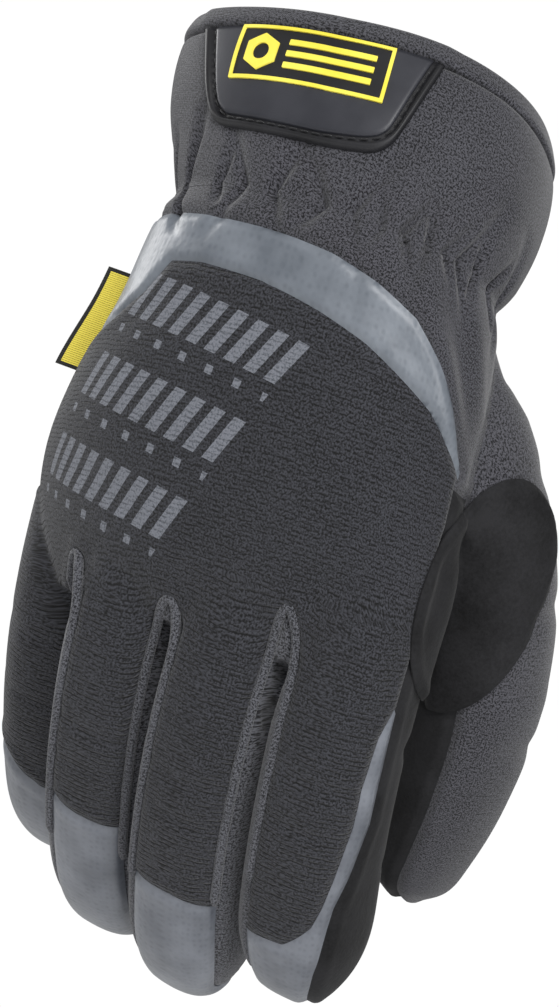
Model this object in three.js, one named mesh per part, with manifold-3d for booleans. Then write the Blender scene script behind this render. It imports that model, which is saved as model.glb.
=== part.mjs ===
import * as THREE from 'three';
import Module from 'manifold-3d';

const wasm = await Module();
wasm.setup();

// A right-hand mechanic glove with its worn shape, in millimetres.
// The origin is the centre of the wrist elastic. +Z runs up the forearm and the fingers point down,
// the back of the hand faces -Y and the thumb is on the +X side.

// Cloth and seams
const WALL = 1.8;
const SEAM_GAP = 0.3;

// Hand: its breadth over the knuckles, its length from the elastic down to the finger crotches, and
// its thickness below the elastic
const PALM_WIDTH = 100;
const PALM_LENGTH = 88;
const PALM_DEPTH = 48;

// Cuff, from the wrist elastic up to the rim
const CUFF_LENGTH = 40;
const CUFF_WIDTH = 0.93 * PALM_WIDTH;
const CUFF_DEPTH = 1.1875 * PALM_DEPTH;
const HEM_HEIGHT = 5.8;
const HEM_EXTRA = 0.8;
const GATHERS = 18;
const GATHER_DEPTH = 1.6;

// Wrist, at the elastic
const WRIST_WIDTH = 0.806 * PALM_WIDTH;
const WRIST_DEPTH = PALM_DEPTH;

// Fingers, each measured along its curve from the knuckle to the tip
const LITTLE_LENGTH = 100;
const RING_LENGTH = 110;
const MIDDLE_LENGTH = 112;
const INDEX_LENGTH = 98;
const LITTLE_WIDTH = 0.24 * PALM_WIDTH;
const RING_WIDTH = 0.26 * PALM_WIDTH;
const MIDDLE_WIDTH = 0.268 * PALM_WIDTH;
const INDEX_WIDTH = 0.272 * PALM_WIDTH;
const LITTLE_DEPTH = 25.6;
const RING_DEPTH = 27.6;
const MIDDLE_DEPTH = 29;
const INDEX_DEPTH = 30.4;

// Thumb: how far its tip lies below the elastic and in front of the hand, and its thickest section
const THUMB_LENGTH = 132;
const THUMB_REACH = 57.5;
const THUMB_WIDTH = 0.41 * PALM_WIDTH;
const THUMB_DEPTH = 34;

// Pieces laid on the glove
const PATCH_THICKNESS = 1.2;
const PLATE_THICKNESS = 0.6;
const BADGE_THICKNESS = 0.4;
const SADDLE_THICKNESS = 1.1;
const SADDLE_LENGTH = 54;
const SADDLE_WIDTH = 27;
const TAG_LENGTH = 23.5;
const TAG_WIDTH = 7;
const TAG_THICKNESS = 1.2;

// Points around a section, outside and inside the wall
const CUFF_SIDES = 54;
const HAND_SIDES = { outside: 36, inside: 28 };
const FINGER_SIDES = { outside: 14, inside: 12 };
const THUMB_SIDES = { outside: 16, inside: 10 };

const table = (columns, rows) => rows.map(
  (row) => Object.fromEntries(columns.map((name, i) => [name, row[i]])));

// Sections of the cuff. along, drift and rise are shares of CUFF_LENGTH, width of CUFF_WIDTH,
// back and front of CUFF_DEPTH; tilt lifts the back of the section, in degrees.
const CUFF_SECTIONS = table(
  ['along', 'drift', 'rise', 'width', 'back', 'front', 'square', 'tilt'], [
    [1.000, -0.280, 0.420, 0.935, 0.480, 0.474, 2.4, 24],
    [0.775, -0.222, 0.325, 1.000, 0.509, 0.491, 2.4, 25],
    [0.475, -0.125, 0.175, 0.985, 0.491, 0.491, 2.4, 23],
    [0.200, -0.038, 0.075, 0.920, 0.456, 0.456, 2.3, 21],
  ]);

// Sections of the hand. along, drift and rise are shares of PALM_LENGTH, width of PALM_WIDTH,
// back, front and sag of PALM_DEPTH. sag is how far the little finger side drops to the front.
const PALM_SECTIONS = table(
  ['along', 'drift', 'rise', 'width', 'back', 'front', 'square', 'tilt', 'sag'], [
    [0.091, 0.003, -0.011, 0.850, 0.500, 0.500, 2.2, 17, 0.00],
    [0.278, 0.001, -0.011, 0.900, 0.479, 0.500, 2.3, 12, 0.02],
    [0.477, -0.026, 0.000, 0.972, 0.458, 0.458, 2.4, 8, 0.06],
    [0.670, -0.046, 0.023, 1.026, 0.417, 0.396, 2.5, 3, 0.14],
    [0.852, -0.053, 0.057, 1.020, 0.354, 0.313, 2.6, 0, 0.24],
    [1.000, -0.051, 0.102, 0.920, 0.271, 0.229, 2.8, 0, 0.27],
  ]);

// Finger roots. rise is a share of PALM_DEPTH and drop of PALM_LENGTH; splay and the curl at the
// root and the tip are in degrees.
const FINGER_ROOTS = table(
  ['name', 'rise', 'drop', 'splay', 'curlRoot', 'curlTip', 'length', 'width', 'depth'], [
    ['little', 0.375, 0.750, -4.5, 12.5, 58, LITTLE_LENGTH, LITTLE_WIDTH, LITTLE_DEPTH],
    ['ring', 0.115, 0.818, -5.0, 9.5, 62, RING_LENGTH, RING_WIDTH, RING_DEPTH],
    ['middle', 0.073, 0.818, -5.5, 7.5, 54, MIDDLE_LENGTH, MIDDLE_WIDTH, MIDDLE_DEPTH],
    ['index', 0.094, 0.807, -4.2, 11.0, 40, INDEX_LENGTH, INDEX_WIDTH, INDEX_DEPTH],
  ]);
const MIDDLE_ROOT = 0.06;
const ROOT_SPACING = { little: -0.1, ring: 1.6, index: 1.0 };

// Sections of the thumb. out is a share of PALM_WIDTH, reach of THUMB_REACH, drop of THUMB_LENGTH,
// width of THUMB_WIDTH and depth of THUMB_DEPTH.
const THUMB_SECTIONS = table(
  ['out', 'reach', 'drop', 'width', 'depth'], [
    [0.168, 0.139, 0.005, 0.820, 0.942],
    [0.250, 0.243, 0.163, 0.970, 1.000],
    [0.366, 0.383, 0.314, 1.000, 1.000],
    [0.446, 0.539, 0.470, 0.922, 0.942],
    [0.470, 0.696, 0.634, 0.820, 0.853],
    [0.452, 0.835, 0.786, 0.673, 0.794],
    [0.416, 0.948, 0.916, 0.512, 0.676],
    [0.404, 0.983, 0.969, 0.380, 0.518],
    [0.400, 1.000, 1.000, 0.171, 0.235],
  ]);
const THUMB_SIDEWAYS = new THREE.Vector3(1, -0.4, 0.2);
const THUMB_SQUARE = 2.2;
const FINGER_SQUARE = 2.6;
const TIP_START = 0.74;
const TIP_END = 0.99;
const ROOT_START = -0.3;
const TAPER_POWER = 2.4;
const LEAST_TAPER = 0.18;
const TIP_BREADTH = 0.15;
const LEAST_HALF = 0.2;

const rad = THREE.MathUtils.degToRad;
const signedPower = (value, power) => Math.sign(value) * Math.abs(value) ** power;

// Straight-line reading of a table sorted by the column key.
function readTable(rows, key, value) {
  const last = rows.length - 1;
  let i = 0;
  while (i < last - 1 && value > rows[i + 1][key]) i += 1;
  const low = rows[i];
  const high = rows[i + 1];
  const share = THREE.MathUtils.clamp((value - low[key]) / (high[key] - low[key]), 0, 1);
  const mixed = {};
  for (const name of Object.keys(low)) mixed[name] = low[name] + (high[name] - low[name]) * share;
  return mixed;
}

// A limb gives its section at any station: a centre, the directions across and through it, and its
// half sizes. Angle 0 is the back of the hand, 90 the thumb side and 180 the palm side.
function onSection(section, angle, offset) {
  const turn = rad(angle - 90);
  const bend = 2 / section.square;
  const half = Math.max(section.half + offset, LEAST_HALF);
  const depth = Math.max((Math.sin(turn) < 0 ? section.back : section.front) + offset, LEAST_HALF);
  const side = signedPower(Math.cos(turn), bend);
  const sag = (section.sag ?? 0) * Math.min(side, 0) ** 2;
  return section.centre.clone()
    .addScaledVector(section.across, half * side)
    .addScaledVector(section.through, depth * signedPower(Math.sin(turn), bend) + sag);
}

function towardsCore(section, angle, share) {
  return onSection(section, angle, 0).lerp(section.centre, 1 - share);
}

const handRows = [
  ...PALM_SECTIONS.map((row) => ({
    station: -row.along * PALM_LENGTH,
    x: row.drift * PALM_LENGTH,
    y: row.rise * PALM_LENGTH,
    half: row.width * PALM_WIDTH / 2,
    back: row.back * PALM_DEPTH,
    front: row.front * PALM_DEPTH,
    square: row.square,
    tilt: row.tilt,
    sag: row.sag * PALM_DEPTH,
  })).reverse(),
  { station: 0, x: 0, y: 0, half: WRIST_WIDTH / 2, back: WRIST_DEPTH / 2, front: WRIST_DEPTH / 2,
    square: 2.2, tilt: 20, sag: 0 },
  ...CUFF_SECTIONS.map((row) => ({
    station: row.along * CUFF_LENGTH,
    x: row.drift * CUFF_LENGTH,
    y: row.rise * CUFF_LENGTH,
    half: row.width * CUFF_WIDTH / 2,
    back: row.back * CUFF_DEPTH,
    front: row.front * CUFF_DEPTH,
    square: row.square,
    tilt: row.tilt,
    sag: 0,
  })).reverse(),
];

function hand(station) {
  const row = readTable(handRows, 'station', station);
  const tilt = rad(row.tilt);
  return {
    centre: new THREE.Vector3(row.x, row.y, station),
    across: new THREE.Vector3(1, 0, 0),
    through: new THREE.Vector3(0, Math.cos(tilt), -Math.sin(tilt)),
    half: row.half,
    back: row.back,
    front: row.front,
    square: row.square,
    sag: row.sag,
  };
}

// The four roots stand side by side, each at half its own and half its neighbour's width.
const rootX = { middle: MIDDLE_ROOT * PALM_WIDTH };
rootX.index = rootX.middle + (MIDDLE_WIDTH + INDEX_WIDTH) / 2 + ROOT_SPACING.index;
rootX.ring = rootX.middle - (MIDDLE_WIDTH + RING_WIDTH) / 2 - ROOT_SPACING.ring;
rootX.little = rootX.ring - (RING_WIDTH + LITTLE_WIDTH) / 2 - ROOT_SPACING.little;

// A finger curls evenly from its root to its tip. Above the root it fades into the palm.
function makeFinger(row) {
  const curlStart = rad(row.curlRoot);
  const curlGain = rad(row.curlTip - row.curlRoot);
  const splay = rad(row.splay);
  const root = new THREE.Vector3(rootX[row.name], row.rise * PALM_DEPTH, -row.drop * PALM_LENGTH);
  return (station) => {
    const curl = curlStart + curlGain * station;
    const forward = (Math.cos(curlStart) - Math.cos(curl)) / curlGain;
    const down = (Math.sin(curl) - Math.sin(curlStart)) / curlGain;
    const centre = root.clone().add(new THREE.Vector3(
      Math.sin(splay) * down, forward, -Math.cos(splay) * down).multiplyScalar(row.length));
    const along = new THREE.Vector3(
      Math.sin(splay) * Math.cos(curl), Math.sin(curl), -Math.cos(splay) * Math.cos(curl));
    const across = new THREE.Vector3(Math.cos(splay), 0, Math.sin(splay));
    const through = new THREE.Vector3().crossVectors(along, across).normalize();
    if (through.y < 0) through.negate();
    const past = THREE.MathUtils.clamp((station - TIP_START) / (1 - TIP_START), 0, 1);
    const before = THREE.MathUtils.clamp(station / ROOT_START, 0, 1);
    const taper = Math.max(Math.sqrt((1 - past ** TAPER_POWER) * (1 - before ** 2)), LEAST_TAPER);
    return {
      centre,
      across,
      through,
      half: row.width / 2 * (TIP_BREADTH + (1 - TIP_BREADTH) * taper),
      back: row.depth / 2 * taper,
      front: row.depth / 2 * taper,
      square: FINGER_SQUARE,
    };
  };
}

const fingers = Object.fromEntries(FINGER_ROOTS.map((row) => [row.name, makeFinger(row)]));

const thumbCentres = THUMB_SECTIONS.map((row) => new THREE.Vector3(
  row.out * PALM_WIDTH, row.reach * THUMB_REACH, -row.drop * THUMB_LENGTH));

const thumbRows = THUMB_SECTIONS.map((row, i) => {
  const before = thumbCentres[Math.max(i - 1, 0)];
  const after = thumbCentres[Math.min(i + 1, thumbCentres.length - 1)];
  const along = after.clone().sub(before).normalize();
  const centre = thumbCentres[i];
  return {
    station: row.drop,
    x: centre.x,
    y: centre.y,
    z: centre.z,
    alongX: along.x,
    alongY: along.y,
    alongZ: along.z,
    half: row.width * THUMB_WIDTH / 2,
    depth: row.depth * THUMB_DEPTH / 2,
  };
});

function thumb(station) {
  const row = readTable(thumbRows, 'station', station);
  const along = new THREE.Vector3(row.alongX, row.alongY, row.alongZ).normalize();
  const across = THUMB_SIDEWAYS.clone().addScaledVector(along, -THUMB_SIDEWAYS.dot(along)).normalize();
  const through = new THREE.Vector3().crossVectors(along, across).normalize();
  if (through.y < 0) through.negate();
  const centre = new THREE.Vector3(row.x, row.y, row.z);
  centre.addScaledVector(along, Math.max(station - 1, 0) * THUMB_LENGTH);
  return {
    centre,
    across,
    through,
    half: row.half,
    back: row.depth,
    front: row.depth,
    square: THUMB_SQUARE,
  };
}

// Closed meshes
function makeSolid(points, faces) {
  let volume = 0;
  for (const [a, b, c] of faces) {
    volume += points[a].dot(new THREE.Vector3().crossVectors(points[b], points[c]));
  }
  const outward = volume > 0 ? faces : faces.map(([a, b, c]) => [a, c, b]);
  return new wasm.Manifold(new wasm.Mesh({
    numProp: 3,
    vertProperties: new Float32Array(points.flatMap((point) => point.toArray())),
    triVerts: new Uint32Array(outward.flat()),
  }));
}

function band(faces, count, first, second) {
  for (let i = 0; i < count; i += 1) {
    const next = (i + 1) % count;
    faces.push([first + i, first + next, second + next], [first + i, second + next, second + i]);
  }
}

// A solid skinned over closed rings of equal count, with a fan over each end.
function loft(rings) {
  const count = rings[0].length;
  const points = rings.flat();
  const faces = [];
  for (let row = 0; row < rings.length - 1; row += 1) band(faces, count, row * count, (row + 1) * count);
  for (const [row, turn] of [[0, false], [rings.length - 1, true]]) {
    const middle = points.length;
    const centre = new THREE.Vector3();
    for (const point of rings[row]) centre.add(point);
    points.push(centre.divideScalar(count));
    for (let i = 0; i < count; i += 1) {
      const a = row * count + i;
      const b = row * count + (i + 1) % count;
      faces.push(turn ? [middle, a, b] : [middle, b, a]);
    }
  }
  return makeSolid(points, faces);
}

// A tube wall: rings up the outside and down the inside, joined at both rims.
function sleeve(outside, inside) {
  const rings = [...outside, ...[...inside].reverse()];
  const count = rings[0].length;
  const faces = [];
  for (let row = 0; row < rings.length; row += 1) {
    band(faces, count, row * count, ((row + 1) % rings.length) * count);
  }
  return makeSolid(rings.flat(), faces);
}

// A block between a sheet of points and a second sheet under it.
function block(topRows, underRows) {
  const height = topRows.length;
  const width = topRows[0].length;
  const points = [...topRows.flat(), ...underRows.flat()];
  const top = (i, j) => i * width + j;
  const under = (i, j) => height * width + i * width + j;
  const faces = [];
  const quad = (a, b, c, d) => faces.push([a, b, c], [a, c, d]);
  for (let i = 0; i < height - 1; i += 1) {
    for (let j = 0; j < width - 1; j += 1) {
      quad(top(i, j), top(i + 1, j), top(i + 1, j + 1), top(i, j + 1));
      quad(under(i, j), under(i, j + 1), under(i + 1, j + 1), under(i + 1, j));
    }
    quad(top(i, 0), under(i, 0), under(i + 1, 0), top(i + 1, 0));
    quad(top(i, width - 1), top(i + 1, width - 1), under(i + 1, width - 1), under(i, width - 1));
  }
  for (let j = 0; j < width - 1; j += 1) {
    quad(top(0, j), top(0, j + 1), under(0, j + 1), under(0, j));
    quad(top(height - 1, j), under(height - 1, j), under(height - 1, j + 1), top(height - 1, j + 1));
  }
  return makeSolid(points, faces);
}

const steps = (low, high, count) => Array.from(
  { length: count + 1 }, (_, i) => low + (high - low) * i / count);

function ringAt(limb, station, sides, offset) {
  const section = limb(station);
  return Array.from({ length: sides }, (_, i) => {
    const angle = 360 * i / sides;
    return onSection(section, angle, typeof offset === 'function' ? offset(station, angle) : offset);
  });
}

const limbLoft = (limb, stations, sides, offset) => loft(
  stations.map((station) => ringAt(limb, station, sides, offset)));

// A wedge of a limb: cells hold a station and an angle; it runs from a height over the skin to a
// share of the way out from the core. The pad moves its skin out and its core edge back.
const CORE_BACK = 1.4;

function wedge(limb, cells, over, core, pad) {
  const middle = (row) => (row[0][1] + row[row.length - 1][1]) / 2;
  const coreRow = (row) => {
    const section = limb(row[0][0]);
    const back = section.centre.clone().sub(onSection(section, middle(row), 0)).setLength(CORE_BACK * pad);
    return row.map(([station, angle]) => towardsCore(limb(station), angle, core).add(back));
  };
  return block(
    cells.map((row) => row.map(([station, angle]) => onSection(limb(station), angle, over + pad))),
    cells.map(coreRow));
}

// A piece laid on a limb, between two heights over its skin.
function overlay(limb, cells, low, high) {
  return block(
    cells.map((row) => row.map(([station, angle]) => onSection(limb(station), angle, high))),
    cells.map((row) => row.map(([station, angle]) => onSection(limb(station), angle, low))));
}

const union = (solids) => solids.reduce((whole, solid) => whole.add(solid));

// Gathers pull narrow creases into the cloth on both sides of the elastic.
const GATHER_FADE = table(
  ['station', 'depth'], [
    [-0.40 * CUFF_LENGTH, 0],
    [-0.10 * CUFF_LENGTH, 0.5],
    [0, 0.7],
    [0.14 * CUFF_LENGTH, 1],
    [0.30 * CUFF_LENGTH, 0.6],
    [0.60 * CUFF_LENGTH, 0],
  ]);

function gather(station, angle) {
  const fade = readTable(GATHER_FADE, 'station', station).depth;
  return -GATHER_DEPTH * fade * Math.abs(Math.cos(rad(angle) * GATHERS / 2)) ** 3;
}

// The whole shell below the elastic: hand, fingers and thumb in one skin, hollow and open at the top.
const handStations = handRows.filter((row) => row.station < 0).map((row) => row.station);
const fingerStations = {
  outside: [ROOT_START, -0.15, 0, 0.2, 0.38, 0.56, TIP_START, 0.84, 0.92, 0.965, TIP_END],
  inside: [ROOT_START, -0.1, 0.2, 0.47, TIP_START, 0.88, 0.95, TIP_END],
};
const thumbStations = thumbRows.map((row) => row.station);

function bodyOf(side, offset, top, shorten) {
  const tips = fingerStations[side].slice(0, -1);
  return union([
    limbLoft(
      hand, [handStations[0] + shorten, ...handStations.slice(1), ...top], HAND_SIDES[side], offset),
    ...FINGER_ROOTS.map((row) => limbLoft(
      fingers[row.name], [...tips, TIP_END - shorten / row.length], FINGER_SIDES[side], offset)),
    limbLoft(
      thumb, [...thumbStations.slice(0, -1), 1 - shorten / THUMB_LENGTH], THUMB_SIDES[side], offset),
  ]);
}

const aboveWrist = limbLoft(
  hand, [-SEAM_GAP / 2, CUFF_LENGTH / 2], HAND_SIDES.outside, WRIST_WIDTH / 2);
const outerBody = bodyOf('outside', 0, [0], 0).subtract(aboveWrist);
const innerBody = bodyOf('inside', -WALL, [0.3 * CUFF_LENGTH], WALL);
let shell = outerBody.subtract(innerBody);

// Panels are cut from the shell in turn; each cut leaves a seam gap round the panel.
function cutPanel(region) {
  const own = region(0);
  const panel = shell.intersect(own);
  shell = shell.subtract(region(SEAM_GAP)).subtract(own);
  return panel;
}

// Heights of the wedges over the skin, and where they start from the core
const FACET_CLEARANCE = 0.7;
const HAND_CLEARANCE = 4;
const CRESCENT_CLEARANCE = 2;
const YOKE_CLEARANCE = 3;
const LIMB_CORE = 0.03;
const SECTOR_CORE = 0.04;
const HAND_CORE = 0.3;
const CRESCENT_CORE = 0.5;
const PAST_TIP = 1.03;

// A slanting seam needs a longer pad along the limb for the same gap across it.
const SLANT = 1.5;

// A pad in millimetres, as degrees on a limb of this half width
const padAngle = (pad, half) => THREE.MathUtils.radToDeg(pad / half);

// Cells between two angles and two stations, with the limb's own facet lines between them, so that
// a wedge stays clear over the facets. The pad widens all four sides by the same length.
const inside = (low, high, lines) => lines.filter((line) => line > low + 1e-3 && line < high - 1e-3);
const facetLines = (sides) => steps(-360, 720, 3 * sides);

function padded(limb, station, low, high, lines, pad) {
  const turn = padAngle(pad, limb(station).half);
  return [low - turn, ...inside(low, high, lines), high + turn];
}

function sector(row, low, high, start, end, pad) {
  const limb = fingers[row.name];
  const shift = pad / row.length;
  const stations = [start - shift, ...inside(start, end, fingerStations.outside), end + shift];
  const cells = stations.map((station) => padded(
    limb, station, low, high, facetLines(FINGER_SIDES.outside), pad).map((angle) => [station, angle]));
  return wedge(limb, cells, FACET_CLEARANCE, SECTOR_CORE, pad);
}

const fingerRow = Object.fromEntries(FINGER_ROOTS.map((row) => [row.name, row]));

// Fourchettes: near and far are the angles of their seams on the two fingers that they join; slit
// is how far below the elastic the back seam splits, a share of PALM_LENGTH.
const FOURCHETTES = table(
  ['first', 'second', 'near', 'far', 'slit', 'front'], [
    ['little', 'ring', 42, -36, 0.905, 122],
    ['ring', 'middle', 50, -38, 0.940, 122],
    ['middle', 'index', 58, -34, 0.865, 122],
  ]);
const FOURCHETTE_START = 0.12;
const FOURCHETTE_END = 0.93;
const CROTCH_SPAN = 0.04;
const CROTCH_FALL = 2;

function crotchBlock(row, pad) {
  const first = fingers[row.first];
  const second = fingers[row.second];
  const depth = 2 * PALM_DEPTH;
  const edge = (limb, angle, station) => onSection(limb(station), angle, 0);
  const nearTop = edge(first, row.near, FOURCHETTE_START);
  const farTop = edge(second, row.far, FOURCHETTE_START);
  const nearLow = edge(first, row.near, FOURCHETTE_START + CROTCH_SPAN);
  const farLow = edge(second, row.far, FOURCHETTE_START + CROTCH_SPAN);
  const peak = new THREE.Vector3((nearTop.x + farTop.x) / 2, 0, -row.slit * PALM_LENGTH);
  const outline = [
    [peak.x - pad, peak.z + 2 * pad], [nearTop.x - pad, Math.min(nearTop.z, peak.z - CROTCH_FALL)],
    [nearLow.x - pad, nearLow.z - pad], [farLow.x + pad, farLow.z - pad],
    [farTop.x + pad, Math.min(farTop.z, peak.z - CROTCH_FALL)], [peak.x + pad, peak.z + 2 * pad],
  ];
  return loft([-depth, depth].map((y) => outline.map(([x, z]) => new THREE.Vector3(x, y, z))));
}

function fourchetteRegion(row, pad) {
  return union([
    sector(fingerRow[row.first], row.near, row.front, FOURCHETTE_START, FOURCHETTE_END, pad),
    sector(fingerRow[row.second], -row.front, row.far, FOURCHETTE_START, FOURCHETTE_END, pad),
    crotchBlock(row, pad),
  ]);
}

const panels = {};
for (const row of FOURCHETTES) {
  panels[`fourchette_${row.first}_${row.second}`] = cutPanel((pad) => fourchetteRegion(row, pad));
}

// Tip caps: where the knit ends on the back of each finger, a station for each angle.
const CAP_EDGES = {
  little: table(['angle', 'station'], [[-90, 0.60], [-29, 0.645], [9, 0.695], [90, 0.73]]),
  ring: table(['angle', 'station'], [[-90, 0.54], [-40, 0.55], [0, 0.57], [45, 0.58], [90, 0.59]]),
  middle: table(['angle', 'station'], [[-90, 0.63], [-38, 0.64], [5, 0.645], [48, 0.66], [90, 0.67]]),
};

function capRegion(row, pad) {
  const limb = fingers[row.name];
  const shift = SLANT * pad / row.length;
  const tip = fingerStations.outside.filter((station) => station >= TIP_START);
  const cells = [0, ...tip, PAST_TIP].map((station) => padded(
    limb, Math.max(station, TIP_START), -90, 90, facetLines(FINGER_SIDES.outside), pad,
  ).map((angle) => {
    const edge = readTable(CAP_EDGES[row.name], 'angle', angle).station - shift;
    return [Math.max(edge, station), angle];
  }));
  return wedge(limb, cells, FACET_CLEARANCE, LIMB_CORE, pad);
}

// The index cap also climbs the thumb side of the finger as a narrow tongue.
const INDEX_CAP = table(
  ['station', 'low', 'high'], [
    [0.18, 78, 80], [0.25, 66, 81], [0.345, 62, 82], [0.465, 60, 82], [0.585, 49, 68],
    [0.66, 40, 54], [0.71, 31, 50], [0.77, 5, 46], [0.785, -38, 45], [0.80, -90, 44],
    [0.84, -90, 40], [0.92, -90, 36], [0.965, -90, 36], [0.99, -90, 36], [PAST_TIP, -90, 36],
  ]);

function indexCapRegion(row, pad) {
  const limb = fingers[row.name];
  const shift = SLANT * pad / row.length;
  const last = INDEX_CAP.length - 1;
  const cells = INDEX_CAP.map((line, i) => {
    const station = i === 0 ? line.station - shift : line.station + (i === last ? shift : 0);
    const turn = SLANT * padAngle(pad, limb(station).half);
    return steps(line.low - turn, line.high + turn, 7).map((angle) => [station, angle]);
  });
  return wedge(limb, cells, 2 * FACET_CLEARANCE, LIMB_CORE, pad);
}

for (const row of FINGER_ROOTS) {
  const region = row.name === 'index' ? indexCapRegion : capRegion;
  panels[`tip_cap_${row.name}`] = cutPanel((pad) => region(row, pad));
}

// The crescent: its upper and lower edges below the elastic, shares of PALM_LENGTH.
const CRESCENT = table(
  ['angle', 'upper', 'lower'], [
    [-80, 0.060, 0.400], [-58, 0.075, 0.330], [-46, 0.078, 0.275], [-38, 0.080, 0.195],
    [-24, 0.083, 0.189], [-4, 0.086, 0.198], [12, 0.098, 0.225], [28, 0.125, 0.258],
    [44, 0.165, 0.305], [58, 0.240, 0.345], [70, 0.318, 0.395], [80, 0.382, 0.428],
    [88, 0.432, 0.455],
  ]);

function crescentRegion(pad) {
  const turn = SLANT * padAngle(pad, PALM_WIDTH / 2);
  const shift = SLANT * pad / PALM_LENGTH;
  const last = CRESCENT.length - 1;
  const columns = CRESCENT.map((line, i) => ({
    ...line, angle: line.angle + (i === 0 ? -turn : 0) + (i === last ? turn : 0) }));
  const cells = steps(0, 1, 2).map((share) => columns.map((line) => {
    const top = line.upper - shift;
    const bottom = line.lower + shift;
    return [-(top + (bottom - top) * share) * PALM_LENGTH, line.angle];
  }));
  return wedge(hand, cells, CRESCENT_CLEARANCE, CRESCENT_CORE, pad);
}
panels.crescent = cutPanel(crescentRegion);

// The knit back: the back of the hand below the crescent, and the backs of the fingers.
const BACK_LOW = -80;
const BACK_HIGH = 85;
const SIDE_LIMIT = { little: [-78, 90], ring: [-90, 90], middle: [-90, 90], index: [-90, 79] };

function backRegion(pad) {
  const turn = padAngle(pad, PALM_WIDTH / 2);
  const shift = pad / PALM_LENGTH;
  const angles = steps(BACK_LOW - turn, BACK_HIGH + turn, 12);
  const cells = steps(0, 1, 4).map((share) => angles.map((angle) => {
    const line = readTable(CRESCENT, 'angle', angle);
    const top = (line.upper + line.lower) / 2 - shift;
    return [-(top + (1.01 + shift - top) * share) * PALM_LENGTH, angle];
  }));
  return union([
    wedge(hand, cells, HAND_CLEARANCE, HAND_CORE, pad),
    ...FINGER_ROOTS.map((row) => sector(
      row, SIDE_LIMIT[row.name][0], SIDE_LIMIT[row.name][1], 0.02, TIP_START, pad)),
  ]);
}
panels.back_panel = cutPanel(backRegion);

// The stretch fabric: round the back of the wrist and the thumb side, and down the back of the thumb.
const YOKE_LOW = -80;
const YOKE_HIGH = 128;
const YOKE_DROP = 0.48;
const YOKE_TOP = 3;
const THUMB_SEAM_NEAR = 25;
const THUMB_SEAM_FAR = 205;
const THUMB_BACK_START = 0.10;

function thumbSector(low, high, start, end, pad) {
  const stations = [start - pad / THUMB_LENGTH, ...inside(start, end, thumbStations), end];
  const cells = stations.map((station) => padded(
    thumb, station, low, high, facetLines(THUMB_SIDES.outside), pad).map((angle) => [station, angle]));
  return wedge(thumb, cells, FACET_CLEARANCE, LIMB_CORE, pad);
}

function yokeRegion(pad) {
  const turn = padAngle(pad, PALM_WIDTH / 2);
  const cells = steps(YOKE_TOP, -YOKE_DROP * PALM_LENGTH - pad, 3).map(
    (station) => steps(YOKE_LOW - turn, YOKE_HIGH + turn, 14).map((angle) => [station, angle]));
  return union([
    wedge(hand, cells, YOKE_CLEARANCE, HAND_CORE, pad),
    thumbSector(THUMB_SEAM_NEAR, THUMB_SEAM_FAR, THUMB_BACK_START, PAST_TIP, pad),
  ]);
}
panels.back_yoke = cutPanel(yokeRegion);

const THUMB_PALM_START = 0.52;
const SEAM_REACH = 4;
panels.thumb_palm = cutPanel((pad) => thumbSector(
  THUMB_SEAM_FAR - SEAM_REACH, 360 + THUMB_SEAM_NEAR + SEAM_REACH, THUMB_PALM_START, PAST_TIP, pad));

// What is left is the palm side.
panels.palm_panel = shell;

// The oval over the web between thumb and index finger. Its outline stands in the plane that faces
// SADDLE_TURN degrees from the back of the hand towards the thumb.
const SADDLE_TURN = 25;
const SADDLE_CENTRE = { across: 0.535, drop: 0.70 };
const SADDLE_LEAN = -4;
const SADDLE_SIDES = 24;
const SADDLE_FOOT = -0.02;

function saddlePrism() {
  const facing = new THREE.Vector3(Math.sin(rad(SADDLE_TURN)), -Math.cos(rad(SADDLE_TURN)), 0);
  const sideways = new THREE.Vector3(Math.cos(rad(SADDLE_TURN)), Math.sin(rad(SADDLE_TURN)), 0);
  const centre = sideways.clone().multiplyScalar(SADDLE_CENTRE.across * PALM_WIDTH);
  centre.z = -SADDLE_CENTRE.drop * PALM_LENGTH;
  const outline = Array.from({ length: SADDLE_SIDES }, (_, i) => {
    const turn = rad(360 * i / SADDLE_SIDES);
    const across = SADDLE_WIDTH / 2 * Math.cos(turn);
    const up = SADDLE_LENGTH / 2 * Math.sin(turn);
    const lean = rad(SADDLE_LEAN);
    return [across * Math.cos(lean) - up * Math.sin(lean), across * Math.sin(lean) + up * Math.cos(lean)];
  });
  return loft([SADDLE_FOOT * PALM_WIDTH, PALM_WIDTH].map((depth) => outline.map(([across, up]) => centre
    .clone().addScaledVector(sideways, across).addScaledVector(facing, depth)
    .add(new THREE.Vector3(0, 0, up)))));
}

panels.saddle_patch = bodyOf('outside', SEAM_GAP + SADDLE_THICKNESS, [0], 0)
  .subtract(bodyOf('outside', SEAM_GAP, [0], -SEAM_GAP))
  .intersect(saddlePrism());

// Cuff and hem. The rim dips over the patch, and the hem line follows it.
const RIM_DIP = 0.0925 * CUFF_LENGTH;
const RIM_LOWEST = -35;
const RIM_SPREAD = 4;
const rimLine = (angle) => CUFF_LENGTH
  - RIM_DIP * Math.max(Math.cos(rad(angle - RIM_LOWEST)), 0) ** RIM_SPREAD;
const hemLine = (angle) => rimLine(angle) - HEM_HEIGHT;

// Rings of the cuff: low and high give the ends at each angle, and shares the rings between them.
const cuffRings = (shares, low, high, offset) => shares.map((share, i) => Array.from(
  { length: CUFF_SIDES }, (_, side) => {
    const angle = 360 * side / CUFF_SIDES;
    const station = low(angle) + (high(angle) - low(angle)) * share;
    return onSection(hand(station), angle, offset(station, angle, i));
  }));

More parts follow.
